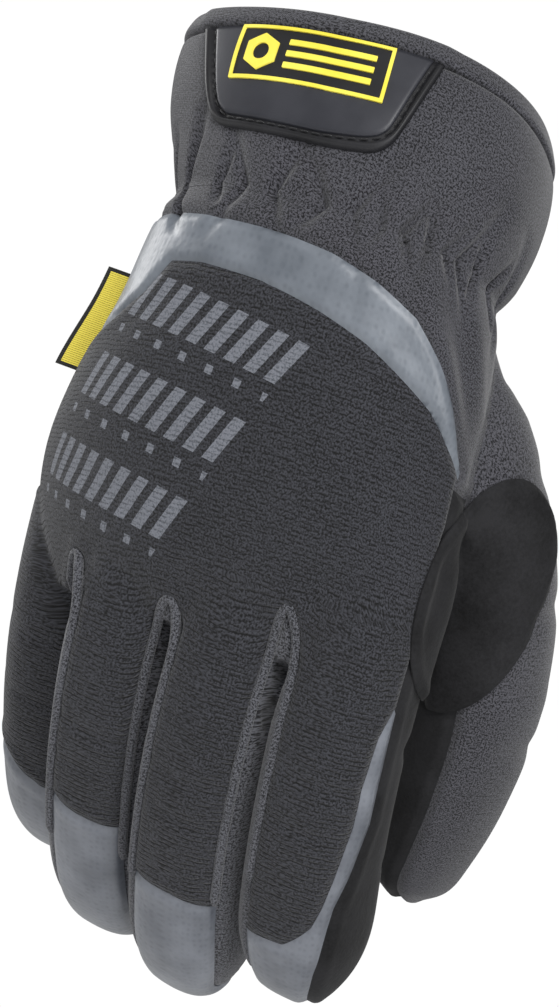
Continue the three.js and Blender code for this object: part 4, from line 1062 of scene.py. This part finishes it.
print_slant = math_node(knit_tree, "MULTIPLY_ADD", print_depth, 0.42, print_along)
print_share = math_node(knit_tree, "FRACT", math_node(knit_tree, "DIVIDE", print_slant, PRINT_BAR))
print_bars = math_node(knit_tree, "MULTIPLY", between(knit_tree, print_depth, 0, PRINT_HEIGHT),
                       math_node(knit_tree, "LESS_THAN", print_share, 0.56))
print_square = math_node(knit_tree, "FRACT", math_node(knit_tree, "DIVIDE", print_along, SQUARE_PITCH))
print_squares = math_node(knit_tree, "MULTIPLY", between(knit_tree, print_depth, SQUARE_TOP, SQUARE_BOTTOM),
                          between(knit_tree, print_square, 0.3, 0.55))
print_area = math_node(knit_tree, "MULTIPLY", between(knit_tree, print_row, -0.5, 2.5),
                       between(knit_tree, print_slant, 0, PRINT_LENGTH))
print_marks = math_node(knit_tree, "MAXIMUM", print_bars, print_squares)
print_colour = ramp_node(knit_tree, knit_mix, [(0.0, linear(84, 87, 94)), (0.7, linear(116, 119, 127))])
# A colour mix takes its factor at input 0 and its two colours at inputs 6 and 7.
print_mix = knit_tree.nodes.new("ShaderNodeMix")
print_mix.data_type = "RGBA"
set_inputs(knit_tree, print_mix, {
    0: math_node(knit_tree, "MULTIPLY", print_marks, print_area), 6: knit_colour, 7: print_colour})
add_relief(knit_tree, knit_shader, knit_look.outputs["Height"], 0.9, 0.18)
set_inputs(knit_tree, knit_shader, {
    "Base Color": print_mix.outputs[2], "Roughness": 0.8, "Sheen Weight": 0.15, "Specular IOR Level": 0.3})

spots = places(form["at"])
station, angle, _ = spots["hand"]
middle_line = np.interp(angle, crescent_table[:, 0], crescent_table[:, 1:].mean(axis=1)) * PALM_LENGTH
inside = np.minimum.reduce([
    -station - middle_line, (angle + 80) * 0.87, (85 - angle) * 0.87, station + 1.01 * PALM_LENGTH])
inside = np.where(np.isin(spots["own"], ("hand", "thumb")) | (spots["hand"][2] < 1.03), inside, OUTSIDE)
inside = np.where((spots["own"] == "thumb") & (station < -46), OUTSIDE, inside)
# lowest and highest angle of the knit on each finger
side_limit = {"little": (-78, 90), "ring": (-90, 90), "middle": (-90, 90), "index": (-90, 79)}
for name, (low, high) in side_limit.items():
    inside = np.maximum(inside, finger_strip(spots, name, low, high, 0.0, 1.2))
knit_piece, form = cut(form, inside)
sewn_panel("back_panel", knit_piece, knit_cloth, sink=0.65, swell=0.35, reach=1.0)


# Yoke
# Dark grey stretch cloth, fine and matt. It goes round the back of the wrist below the elastic, past the
# crescent, and runs down the back of the thumb to its tip in one piece.
stretch_cloth = cloth_material(
    "grey_stretch", linear(11, 11, 15), linear(78, 78, 84), thread=0.68, slant=0.8, bump=0.16, spread=0.015)
spots = places(form["at"])
station, angle, _ = spots["hand"]
inside = np.minimum.reduce([
    station + 0.48 * PALM_LENGTH, (angle + 80) * 0.8, (128 - angle) * 0.8])


def thumb_strip(found, low, high, start):
    """Distance in mm inside a strip of the thumb between two angles, from a station to its tip."""
    station, angle, _ = found["thumb"]
    half = np.interp(station, thumb_sections[:, 2], thumb_sections[:, 3]) * THUMB_WIDTH / 2
    inside = np.minimum(inside_angles(angle, low, high, half), (station - start) * THUMB_LENGTH)
    return np.where(found["own"] == "thumb", inside, OUTSIDE)


yoke_piece, form = cut(form, np.maximum(inside, thumb_strip(spots, 25, 205, 0.10)))
_, yoke_piece = cut(yoke_piece, places(yoke_piece["at"])["hand"][0] + 0.15)
sewn_panel("back_yoke", yoke_piece, stretch_cloth, sink=0.7, swell=0.3, reach=1.0)


# Thumb front and palm
# Black synthetic leather, brushed to a fine nap: one piece covers the palm, the fronts of the fingers and
# the side of the index finger, and a second the front of the thumb below its middle seam.
def nap_material(name, dark, light, grain, bump, sheen):
    """Brushed synthetic leather. Grain is the size of its pores in mm."""
    material, tree, shader = new_material(name)
    place = tree.nodes.new("ShaderNodeTexCoord").outputs["Object"]
    pores = add_node(tree, "ShaderNodeTexNoise", {
        "Scale": 1000 / grain, "Detail": 4, "Roughness": 0.65, "Vector": place})
    wrinkle = tree.nodes.new("ShaderNodeTexVoronoi")
    wrinkle.feature = "SMOOTH_F1"
    set_inputs(tree, wrinkle, {"Scale": 420 / grain, "Vector": place})
    tone = math_node(tree, "MULTIPLY_ADD", pores.outputs["Fac"], 0.6, uneven_tone(tree, 0.014))
    height = math_node(tree, "MULTIPLY_ADD", wrinkle.outputs["Distance"], 0.5, pores.outputs["Fac"])
    add_relief(tree, shader, height, 0.8, bump)
    set_inputs(tree, shader, {
        "Base Color": ramp_node(tree, tone, [(0.55, dark), (1.0, light)]), "Roughness": 0.88,
        "Sheen Weight": sheen, "Sheen Roughness": 0.4, "Specular IOR Level": 0.25})
    return material


palm_nap = nap_material("palm_nap", linear(12, 12, 13), linear(38, 38, 40), 0.7, 0.14, sheen=0.08)
spots = places(form["at"])
station, angle, level = spots["thumb"]
spots["thumb"] = (station, np.where(angle < 115, angle + 360, angle), level)
thumb_piece, form = cut(form, thumb_strip(spots, 201, 389, 0.52))
sewn_panel("thumb_palm", thumb_piece, palm_nap, sink=0.7, swell=0.3)
_, palm_piece = cut(form, places(form["at"])["hand"][0] + 0.15)
sewn_panel("palm_panel", palm_piece, palm_nap, sink=0.7, swell=0.3)


# Saddle patch
# A second layer of black suede, an oval sewn over the web between thumb and index finger. It has a raised,
# rounded border and a wrinkle where the web folds.
saddle_facing = np.array([math.sin(view_side), -math.cos(view_side), 0])
saddle_side = np.array([math.cos(view_side), math.sin(view_side), 0])
saddle_lean = math.radians(-4)
SADDLE_LENGTH, SADDLE_WIDTH = 54.0, 27.0


def saddle_place(points):
    """Coordinates in the oval, in mm: across it, along it, and how far a point faces the camera side."""
    across = points @ saddle_side - 0.535 * PALM_WIDTH
    up = points[:, 2] + 0.70 * PALM_LENGTH
    return (across * math.cos(saddle_lean) + up * math.sin(saddle_lean),
            up * math.cos(saddle_lean) - across * math.sin(saddle_lean), points @ saddle_facing)


def inside_oval(across, up):
    """Distance in mm inside the oval."""
    return (1 - np.hypot(across / (SADDLE_WIDTH / 2), up / (SADDLE_LENGTH / 2))) * 14


across, up, facing = saddle_place(whole["at"])
saddle_piece, _ = cut(whole, np.where(facing > -6, inside_oval(across, up), OUTSIDE))
across, up, _ = saddle_place(saddle_piece["at"])
rim = np.exp(-(inside_oval(across, up) / 1.4) ** 2)
fold, _ = distance_to_path(
    np.column_stack([across, up, np.zeros_like(up)]), [(-9, 12, 0), (-3, 9, 0), (1, 4, 0), (-2, 0, 0)])
saddle_piece["shown"] = saddle_piece["shown"] + saddle_piece["out"] * (
    1.0 + 0.5 * rim + 0.6 * np.exp(-(fold / 1.8) ** 2))[:, None]
saddle_suede = nap_material("saddle_suede", linear(9, 9, 10), linear(38, 38, 40), 0.8, 0.16, sheen=0.06)
sewn_panel("saddle_patch", saddle_piece, saddle_suede, wall=0.9, sink=0.8, swell=0.3)


# Cuff
# A tube of the same grey stretch cloth above the sewn-in elastic. It is full over the wrist bone, and the
# elastic gathers it into short slanting puckers along its lower edge.
# mm round the cuff for a degree, height of the hem, and how far the rim dips over the patch
CUFF_TURN, HEM_HEIGHT, RIM_DIP = 0.72, 5.8, 3.7


def rim_line(angle):
    """Height in mm of the rim, which dips over the patch."""
    return CUFF_LENGTH - RIM_DIP * np.maximum(np.cos(np.radians(angle + 35)), 0) ** 4


def hem_line(angle):
    """Height in mm of the seam between cuff and hem."""
    return rim_line(angle) - HEM_HEIGHT


def soft_noise(station, angle, size, seed):
    """Slow waves over the cuff, from a few crossing sines."""
    turn = np.radians(angle)
    return (np.sin(3 * turn + station / size + seed) + np.sin(5 * turn - station / size * 1.3 + 2 * seed)
            + np.sin(8 * turn + station / size * 0.6 + 3 * seed)) / 3


def cuff_sheet(low, high, rows, rise):
    """Outer and inner faces of a band of the cuff between two heights, closed at both edges."""
    turn = np.linspace(-180, 180, 401)[None, :]
    share = np.linspace(0, 1, rows)[:, None]
    station = low(turn) + (high(turn) - low(turn)) * share
    angle = np.broadcast_to(turn, station.shape)
    rise_out, rise_in = rise(station, angle, np.broadcast_to(share, station.shape))
    outer = on_hand(station, angle, rise_out)
    inner = on_hand(station, angle, rise_in)[::-1]
    points = np.concatenate([outer, inner, outer[:1]])
    cloth = np.stack([angle * CUFF_TURN, -station], axis=2)
    cloth = np.concatenate([cloth, cloth[::-1], cloth[:1]])
    faces = grid_faces(points.shape[0], points.shape[1], False)
    return points.reshape(-1, 3), faces, cloth.reshape(-1, 2)


def cuff_rise(station, angle, share):
    """Heights of the cuff's outer and inner face over the plain form, in mm."""
    edge_low = np.exp(-(station / 1.2) ** 2)
    edge_high = np.clip(1 - (hem_line(angle) - station) / 1.2, 0, 1) ** 2
    puff = 0.35 * soft_noise(station, angle, 9.0, 1.3) * np.clip(station / 12, 0, 1)
    out = -pucker_depth(station, angle) + puff - 0.75 * edge_high + 0.12 * np.exp(-(share / 0.03) ** 2)
    return out, out - 1.3 + 0.2 * edge_low


add_piece(
    "cuff", [cuff_sheet(lambda a: np.full_like(a, -0.8), lambda a: hem_line(a) + 1.6, 96, cuff_rise)],
    stretch_cloth, ("cuff",))


# Hem
# The rim of the cuff is turned over a tape and sewn down, so it stands thicker than the cuff, with a dark
# seam line below it.
hem_cloth = cloth_material(
    "hem_stretch", linear(11, 11, 15), linear(80, 80, 86), thread=0.68, slant=0.8, bump=0.16, spread=0.015)


def hem_rise(station, angle, share):
    """Heights of the hem's outer and inner face over the plain form, in mm, fuller over the patch."""
    crown = np.sqrt(np.clip(1 - (2 * share - 1) ** 4, 0, 1))
    over_patch = np.clip((angle + 50) / 6, 0, 1) * np.clip((36 - angle) / 6, 0, 1)
    return (-0.8 + (1.7 + 0.8 * over_patch) * crown + 0.1 * soft_noise(station, angle, 3.0, 0.4),
            -1.3 - 0.8 * crown)


add_piece("cuff_hem", [cuff_sheet(
    lambda a: hem_line(a) + 0.1, rim_line, 40, hem_rise)], hem_cloth, ("cuff_hem",))


# Rubber patch
# A moulded rubber patch on the back of the cuff, tucked under the hem along its top. Its border is thick
# and rounded with a row of stitches in a groove, and the panel inside is smooth.
# height, left and right angle
patch_edge = [
    (0.250, -28, 0), (0.272, -33.5, 9.6), (0.2925, -34.9, 15), (0.3575, -36, 19.2), (0.4525, -37, 21.4),
    (0.625, -39.2, 24.7), (0.775, -43, 27.8), (1.0, -49, 32)]
plate_edge = [
    (0.305, -27.4, -2), (0.3175, -29, 2.4), (0.3475, -31, 12), (0.400, -31.8, 17), (0.515, -32.8, 19),
    (0.675, -35, 21.8), (0.860, -39.3, 25.6), (1.0, -42, 28)]


def rounded_outline(edge):
    """Outline of a shape on the cuff, flat and in mm, with its corners cut round; it is open at the top."""
    left = [(row[1] * CUFF_TURN, row[0] * CUFF_LENGTH) for row in edge]
    right = [(row[2] * CUFF_TURN, row[0] * CUFF_LENGTH) for row in edge]
    line = np.array(left[::-1] + right)
    for _ in range(3):
        cuts = np.stack([line[:-1] * 0.75 + line[1:] * 0.25, line[:-1] * 0.25 + line[1:] * 0.75], axis=1)
        line = np.vstack([line[:1], cuts.reshape(-1, 2), line[-1:]])
    return line


def inside_outline(line, station, angle):
    """Distance in mm inside an outline."""
    x, y = angle.ravel() * CUFF_TURN, station.ravel()
    gap = np.full(len(x), 1e9)
    inside = np.zeros(len(x), bool)
    for start, end in zip(line[:-1], line[1:]):
        step = end - start
        t = np.clip(((x - start[0]) * step[0] + (y - start[1]) * step[1]) / (step @ step), 0, 1)
        gap = np.minimum(gap, np.hypot(x - start[0] - t * step[0], y - start[1] - t * step[1]))
        between_ends = (start[0] > x) != (end[0] > x)
        height = start[1] + (x - start[0]) / (step[0] if step[0] else 1) * step[1]
        inside ^= between_ends & (height < y)
    return np.where(inside, gap, -gap).reshape(angle.shape)


patch_line, plate_line = rounded_outline(patch_edge), rounded_outline(plate_edge)


def rubber_material(name, dark, light, rough, bump):
    """Moulded rubber with a fine matt grain."""
    material, tree, shader = new_material(name)
    place = tree.nodes.new("ShaderNodeTexCoord").outputs["Object"]
    grain = add_node(tree, "ShaderNodeTexNoise", {"Scale": 2400, "Detail": 2, "Vector": place})
    tone = uneven_tone(tree, 0.01)
    add_relief(tree, shader, grain.outputs["Fac"], 0.4, bump)
    set_inputs(tree, shader, {
        "Base Color": ramp_node(tree, tone, [(0.35, dark), (0.7, light)]),
        "Roughness": math_node(tree, "MULTIPLY_ADD", tone, 0.15, rough - 0.07), "Specular IOR Level": 0.45})
    return material


def laid_piece(name, material, field, rise, low, nodes=(), rows=110, columns=190):
    """A sheet laid on the cuff where a field is above zero. Rise gives its height over the cuff."""
    turn = np.linspace(-46, 34, columns)[None, :]
    height = np.linspace(9, CUFF_LENGTH - 4, rows)[:, None]
    station, angle = np.broadcast_arrays(height, turn)
    flat = np.stack([angle * CUFF_TURN, station, np.zeros_like(station)], axis=2).reshape(-1, 3)
    faces = grid_faces(*station.shape, False)
    sheet = {"at": flat, "shown": flat, "out": np.zeros_like(flat), "faces": faces}
    piece, _ = cut(sheet, field(station, angle).ravel())
    turn, height = piece["shown"][:, 0] / CUFF_TURN, piece["shown"][:, 1]
    outer = on_hand(height, turn, rise(height, turn))
    inner = on_hand(height, turn, low)
    a, b, c = outer[piece["faces"][0]]
    faces = walled(piece["faces"], len(outer))
    if np.cross(b - a, c - a)[1] > 0:
        faces = faces[:, ::-1]
    cloth = np.column_stack([turn * CUFF_TURN, -height])
    return add_piece(name, [(np.vstack([outer, inner]), faces, np.vstack([cloth, cloth]))], material, nodes)


def under_hem(station, angle):
    """1 on the cuff, falling to 0 where the hem lies over the patch."""
    return np.clip((hem_line(angle) + 0.2 - station) / 1.4, 0, 1)


def tucked_field(line):
    """Field of a shape on the cuff whose top is tucked under the hem."""
    return lambda station, angle: np.minimum(
        inside_outline(line, station, angle), hem_line(angle) + 0.9 - station)


patch_rubber = rubber_material("patch_border_rubber", linear(22, 22, 25), linear(34, 34, 38), 0.5, 0.05)
panel_rubber = rubber_material("patch_panel_rubber", linear(46, 47, 53), linear(56, 57, 63), 0.42, 0.04)
GROOVE_WIDTH = 1.0


def base_rise(station, angle):
    """Height of the border, a round crown between its outer edge and the stitched groove."""
    outer = np.maximum(inside_outline(patch_line, station, angle), 0)
    inner = np.maximum(-inside_outline(plate_line, station, angle) - GROOVE_WIDTH, 0)
    share = outer / np.maximum(outer + inner, 1e-6)
    crown = np.sqrt(np.clip(1 - (2 * share - 1) ** 2, 0, 1)) * (inner > 0)
    return 0.25 + (0.35 + 1.35 * crown) * under_hem(station, angle)


def plate_rise(station, angle):
    edge = np.clip(inside_outline(plate_line, station, angle) / 0.9, 0, 1)
    return 0.3 + (0.75 + 0.45 * np.sqrt(1 - (1 - edge) ** 2)) * under_hem(station, angle)


laid_piece("patch_base", patch_rubber, tucked_field(patch_line), base_rise, 0.0, ("patch_base",))
laid_piece("patch_plate", panel_rubber, tucked_field(plate_line), plate_rise, 0.1, ("patch_plate",))


def stitch_row(points, normals, length, gap, radius):
    """Small sewn stitches along a line of surface points, each a short thread dipping at its ends."""
    points, normals = np.asarray(points, float), np.asarray(normals, float)
    run = np.concatenate([[0], np.cumsum(np.linalg.norm(np.diff(points, axis=0), axis=1))])
    parts = []
    start = gap / 2
    while start + length < run[-1]:
        spots = np.linspace(start, start + length, 6)
        path = np.column_stack([np.interp(spots, run, points[:, k]) for k in range(3)])
        up = np.column_stack([np.interp(spots, run, normals[:, k]) for k in range(3)])
        path += up * (radius * 0.9 * np.sin(np.linspace(0, math.pi, 6)) - radius * 0.4)[:, None]
        parts.append(tube(path, radius, 6, up=up))
        start += length + gap
    return parts


def hand_normals(station, angle):
    here = on_hand(station, angle)
    turn = on_hand(station, np.asarray(angle) + 1) - here
    rise = on_hand(np.asarray(station) + 0.5, angle) - here
    normal = np.cross(turn, rise)
    return normal / np.linalg.norm(normal, axis=-1, keepdims=True)


black_thread = cloth_material(
    "black_thread", linear(14, 14, 16), linear(40, 40, 43), thread=0.35, bump=0.05, rough=0.6)
groove_way = np.gradient(plate_line, axis=0)
groove_way /= np.linalg.norm(groove_way, axis=1, keepdims=True)
groove_line = plate_line + np.column_stack([groove_way[:, 1], -groove_way[:, 0]]) * (0.5 * GROOVE_WIDTH)
if inside_outline(plate_line, groove_line[:, 1], groove_line[:, 0] / CUFF_TURN).mean() > 0:
    groove_line = 2 * plate_line - groove_line
groove_run = np.concatenate([[0], np.cumsum(np.linalg.norm(np.diff(groove_line, axis=0), axis=1))])
groove_spots = np.linspace(0, groove_run[-1], 260)
groove_angle = np.interp(groove_spots, groove_run, groove_line[:, 0]) / CUFF_TURN
groove_station = np.interp(groove_spots, groove_run, groove_line[:, 1])
groove_shown = groove_station < hem_line(groove_angle) - 0.5
groove_angle, groove_station = groove_angle[groove_shown], groove_station[groove_shown]
stitches = add_piece("patch_stitches", stitch_row(
    on_hand(groove_station, groove_angle, 0.75), hand_normals(groove_station, groove_angle),
    length=2.0, gap=0.8, radius=0.24), black_thread)


# Badge
# A raised yellow frame and a plain workshop motif in the same yellow on the black field of the patch: a
# hexagon nut and three bars.
# corners of the badge as station and angle: lower left, lower right, upper left, upper right
badge_corners = ((18.8, -26.2), (20.8, 13.6), (30.2, -24.2), (32.8, 14.2))
badge_yellow = rubber_material("badge_yellow", linear(246, 226, 72), linear(255, 240, 100), 0.5, 0.03)
badge_black = rubber_material("badge_field", linear(26, 26, 28), linear(32, 32, 35), 0.45, 0.03)
# half the badge's breadth and height, width of its frame and height of its faces over the cuff, in mm
BADGE_HALF, BADGE_RISE, BADGE_FRAME = 14.5, 6.0, 0.75
FIELD_FACE, YELLOW_FACE = 1.62, 1.95


def badge_flat(station, angle):
    """Flat coordinates in the badge: -1 to 1 across, -1 to 1 up."""
    (low_left, left), (low_right, right), (high_left, left_top), (high_right, right_top) = badge_corners
    across = (angle - left) / (right - left)
    for _ in range(2):
        low = low_left + (low_right - low_left) * across
        high = high_left + (high_right - high_left) * across
        up = (station - low) / (high - low)
        left_here = left + (left_top - left) * up
        right_here = right + (right_top - right) * up
        across = (angle - left_here) / (right_here - left_here)
    return 2 * across - 1, 2 * up - 1


def badge_field(station, angle):
    across, up = badge_flat(station, angle)
    return np.minimum((1 - np.abs(across)) * BADGE_HALF, (1 - np.abs(up)) * BADGE_RISE)


def frame_field(station, angle):
    field = badge_field(station, angle)
    return np.minimum(field, BADGE_FRAME - field)


def nut_field(station, angle):
    across, up = badge_flat(station, angle)
    x, y = (across + 0.56) * BADGE_HALF, up * BADGE_RISE
    size = np.maximum.reduce([np.abs(x), np.abs(x * 0.5 + y * 0.866), np.abs(x * 0.5 - y * 0.866)])
    return np.minimum(3.5 - size, np.hypot(x, y) - 1.8)


def bar_field(height):
    """Field of a bar at a height in mm over the badge's middle."""
    def field(station, angle):
        across, up = badge_flat(station, angle)
        return np.minimum(7.0 - np.abs((across - 0.3) * BADGE_HALF), 0.6 - np.abs(up * BADGE_RISE - height))
    return field


def yellow_piece(name, field, nodes=()):
    return laid_piece(
        name, badge_yellow, field, lambda s, a: np.full_like(a, YELLOW_FACE), 1.2, nodes, 220, 380)


field_piece = laid_piece(
    "badge_field", badge_black, badge_field, lambda s, a: np.full_like(a, FIELD_FACE), 1.0)
yellow_piece("badge_frame", frame_field, ("patch_badge",))
yellow_piece("badge_nut", nut_field)
for number, height in enumerate((-2.5, 0, 2.5)):
    yellow_piece(f"badge_bar_{number + 1}", bar_field(height))


# Side tag
# A small folded woven label caught in the little finger side seam: yellow with a black border.
tag_woven, tag_tree, tag_shader = new_material("tag_woven")
tag_xy = add_node(tag_tree, "ShaderNodeSeparateXYZ", {0: cloth_coordinates(tag_tree)})
tag_across = math_node(tag_tree, "ABSOLUTE", math_node(tag_tree, "SUBTRACT", tag_xy.outputs[0], 3.6))
tag_along = math_node(tag_tree, "ABSOLUTE", tag_xy.outputs[1])
tag_edge = math_node(tag_tree, "MAXIMUM", tag_across, math_node(tag_tree, "SUBTRACT", tag_along, 8.4))
tag_black = math_node(tag_tree, "GREATER_THAN", tag_edge, 2.5)
tag_threads = math_node(tag_tree, "SINE", math_node(tag_tree, "MULTIPLY", tag_xy.outputs[1], 14.0))
tag_tone = math_node(tag_tree, "MULTIPLY_ADD", tag_black, -0.9, 0.95)
tag_tone = math_node(tag_tree, "MULTIPLY_ADD", tag_threads, 0.03, tag_tone)
tag_colour = ramp_node(tag_tree, tag_tone, [
    (0.1, linear(26, 25, 22)), (0.85, linear(236, 214, 60)), (1.0, linear(252, 234, 96))])
add_relief(tag_tree, tag_shader, tag_threads, 1.0, 0.1)
set_inputs(tag_tree, tag_shader, {"Base Color": tag_colour, "Roughness": 0.75, "Sheen Weight": 0.1})

TAG_LENGTH, TAG_REACH = 23.5, 7.2
tag_rows, tag_columns = 40, 24
tag_station = -0.20 * PALM_LENGTH - np.linspace(0, TAG_LENGTH, tag_rows)
tag_foot = on_hand(tag_station, -84, -0.6)
tag_out = np.array([-1, -0.1, 0.05])
tag_out /= np.linalg.norm(tag_out)
loop = np.concatenate([np.linspace(0, TAG_REACH, tag_columns), np.linspace(TAG_REACH, 0, tag_columns)])
tag_thick = 0.5 * np.sqrt(np.clip(1 - (loop / (TAG_REACH + 0.1)) ** 6, 0.02, 1))
tag_thick[tag_columns:] *= -1
wave = 0.5 * np.sin(np.linspace(0, 2.6, tag_rows))[:, None] * (loop / TAG_REACH)[None, :] ** 2
tag_points = (tag_foot[:, None] + tag_out * loop[None, :, None]
              + np.array([0, -1, 0]) * (tag_thick[None, :, None] + wave[:, :, None]))
tag_down = np.linspace(-TAG_LENGTH / 2, TAG_LENGTH / 2, tag_rows)[:, None]
tag_cloth = np.stack(np.broadcast_arrays(loop[None, :], tag_down), axis=2)
tag_faces = grid_faces(tag_rows, 2 * tag_columns, True)
tag_ends = []
for row, flip in ((0, True), (tag_rows - 1, False)):
    first, last = row * 2 * tag_columns, (row + 1) * 2 * tag_columns - 1
    for j in range(tag_columns - 1):
        a, b, c, d = first + j, first + j + 1, last - j, last - 1 - j
        tag_ends += [(a, b, d), (a, d, c)] if flip else [(b, a, d), (d, a, c)]
add_piece("side_tag", [(tag_points.reshape(-1, 3), np.vstack([tag_faces, np.array(tag_ends)]),
                        tag_cloth.reshape(-1, 2))], tag_woven, ("side_tag",))


# Floor and light
# A plain pale floor well below the glove and wide soft lights, as in a product studio.
floor_mesh = bpy.data.meshes.new("studio_floor")
floor_mesh.from_pydata([(-1, -1, -0.5), (1, -1, -0.5), (1, 1, -0.5), (-1, 1, -0.5)], [], [(0, 1, 2, 3)])
floor = bpy.data.objects.new("studio_floor", floor_mesh)
bpy.context.collection.objects.link(floor)
floor_paint, floor_tree, floor_shader = new_material("studio_floor")
set_inputs(floor_tree, floor_shader, {"Base Color": (0.86, 0.86, 0.86, 1), "Roughness": 0.9})
floor_mesh.materials.append(floor_paint)

studio = bpy.data.worlds.new("studio")
studio.use_nodes = True
studio_tree = studio.node_tree
studio_eye = studio_tree.nodes.new("ShaderNodeLightPath")
studio_strength = math_node(studio_tree, "MULTIPLY_ADD", studio_eye.outputs["Is Camera Ray"], 0.68, 0.34)
set_inputs(studio_tree, studio_tree.nodes["Background"], {"Strength": studio_strength, "Color": (1, 1, 1, 1)})
bpy.context.scene.world = studio


def soft_light(name, place, target, size, power):
    """A square light of a size in metres and a power in watts, facing its target."""
    lamp = bpy.data.lights.new(name, "AREA")
    lamp.size = size
    lamp.energy = power
    holder = bpy.data.objects.new(name, lamp)
    holder.location = place
    holder.rotation_mode = "QUATERNION"
    holder.rotation_quaternion = (Vector(target) - Vector(place)).to_track_quat("-Z", "Y")
    bpy.context.collection.objects.link(holder)


soft_light("key_light", (0.45, -0.95, 0.7), (0, 0, -0.05), 0.5, 11)
soft_light("left_light", (-1.0, 0.1, 0.2), (0, 0, -0.08), 0.5, 6)
soft_light("right_light", (0.9, -0.75, 0.0), (0, 0, -0.1), 0.4, 5)
bpy.context.scene.view_settings.view_transform = "Standard"
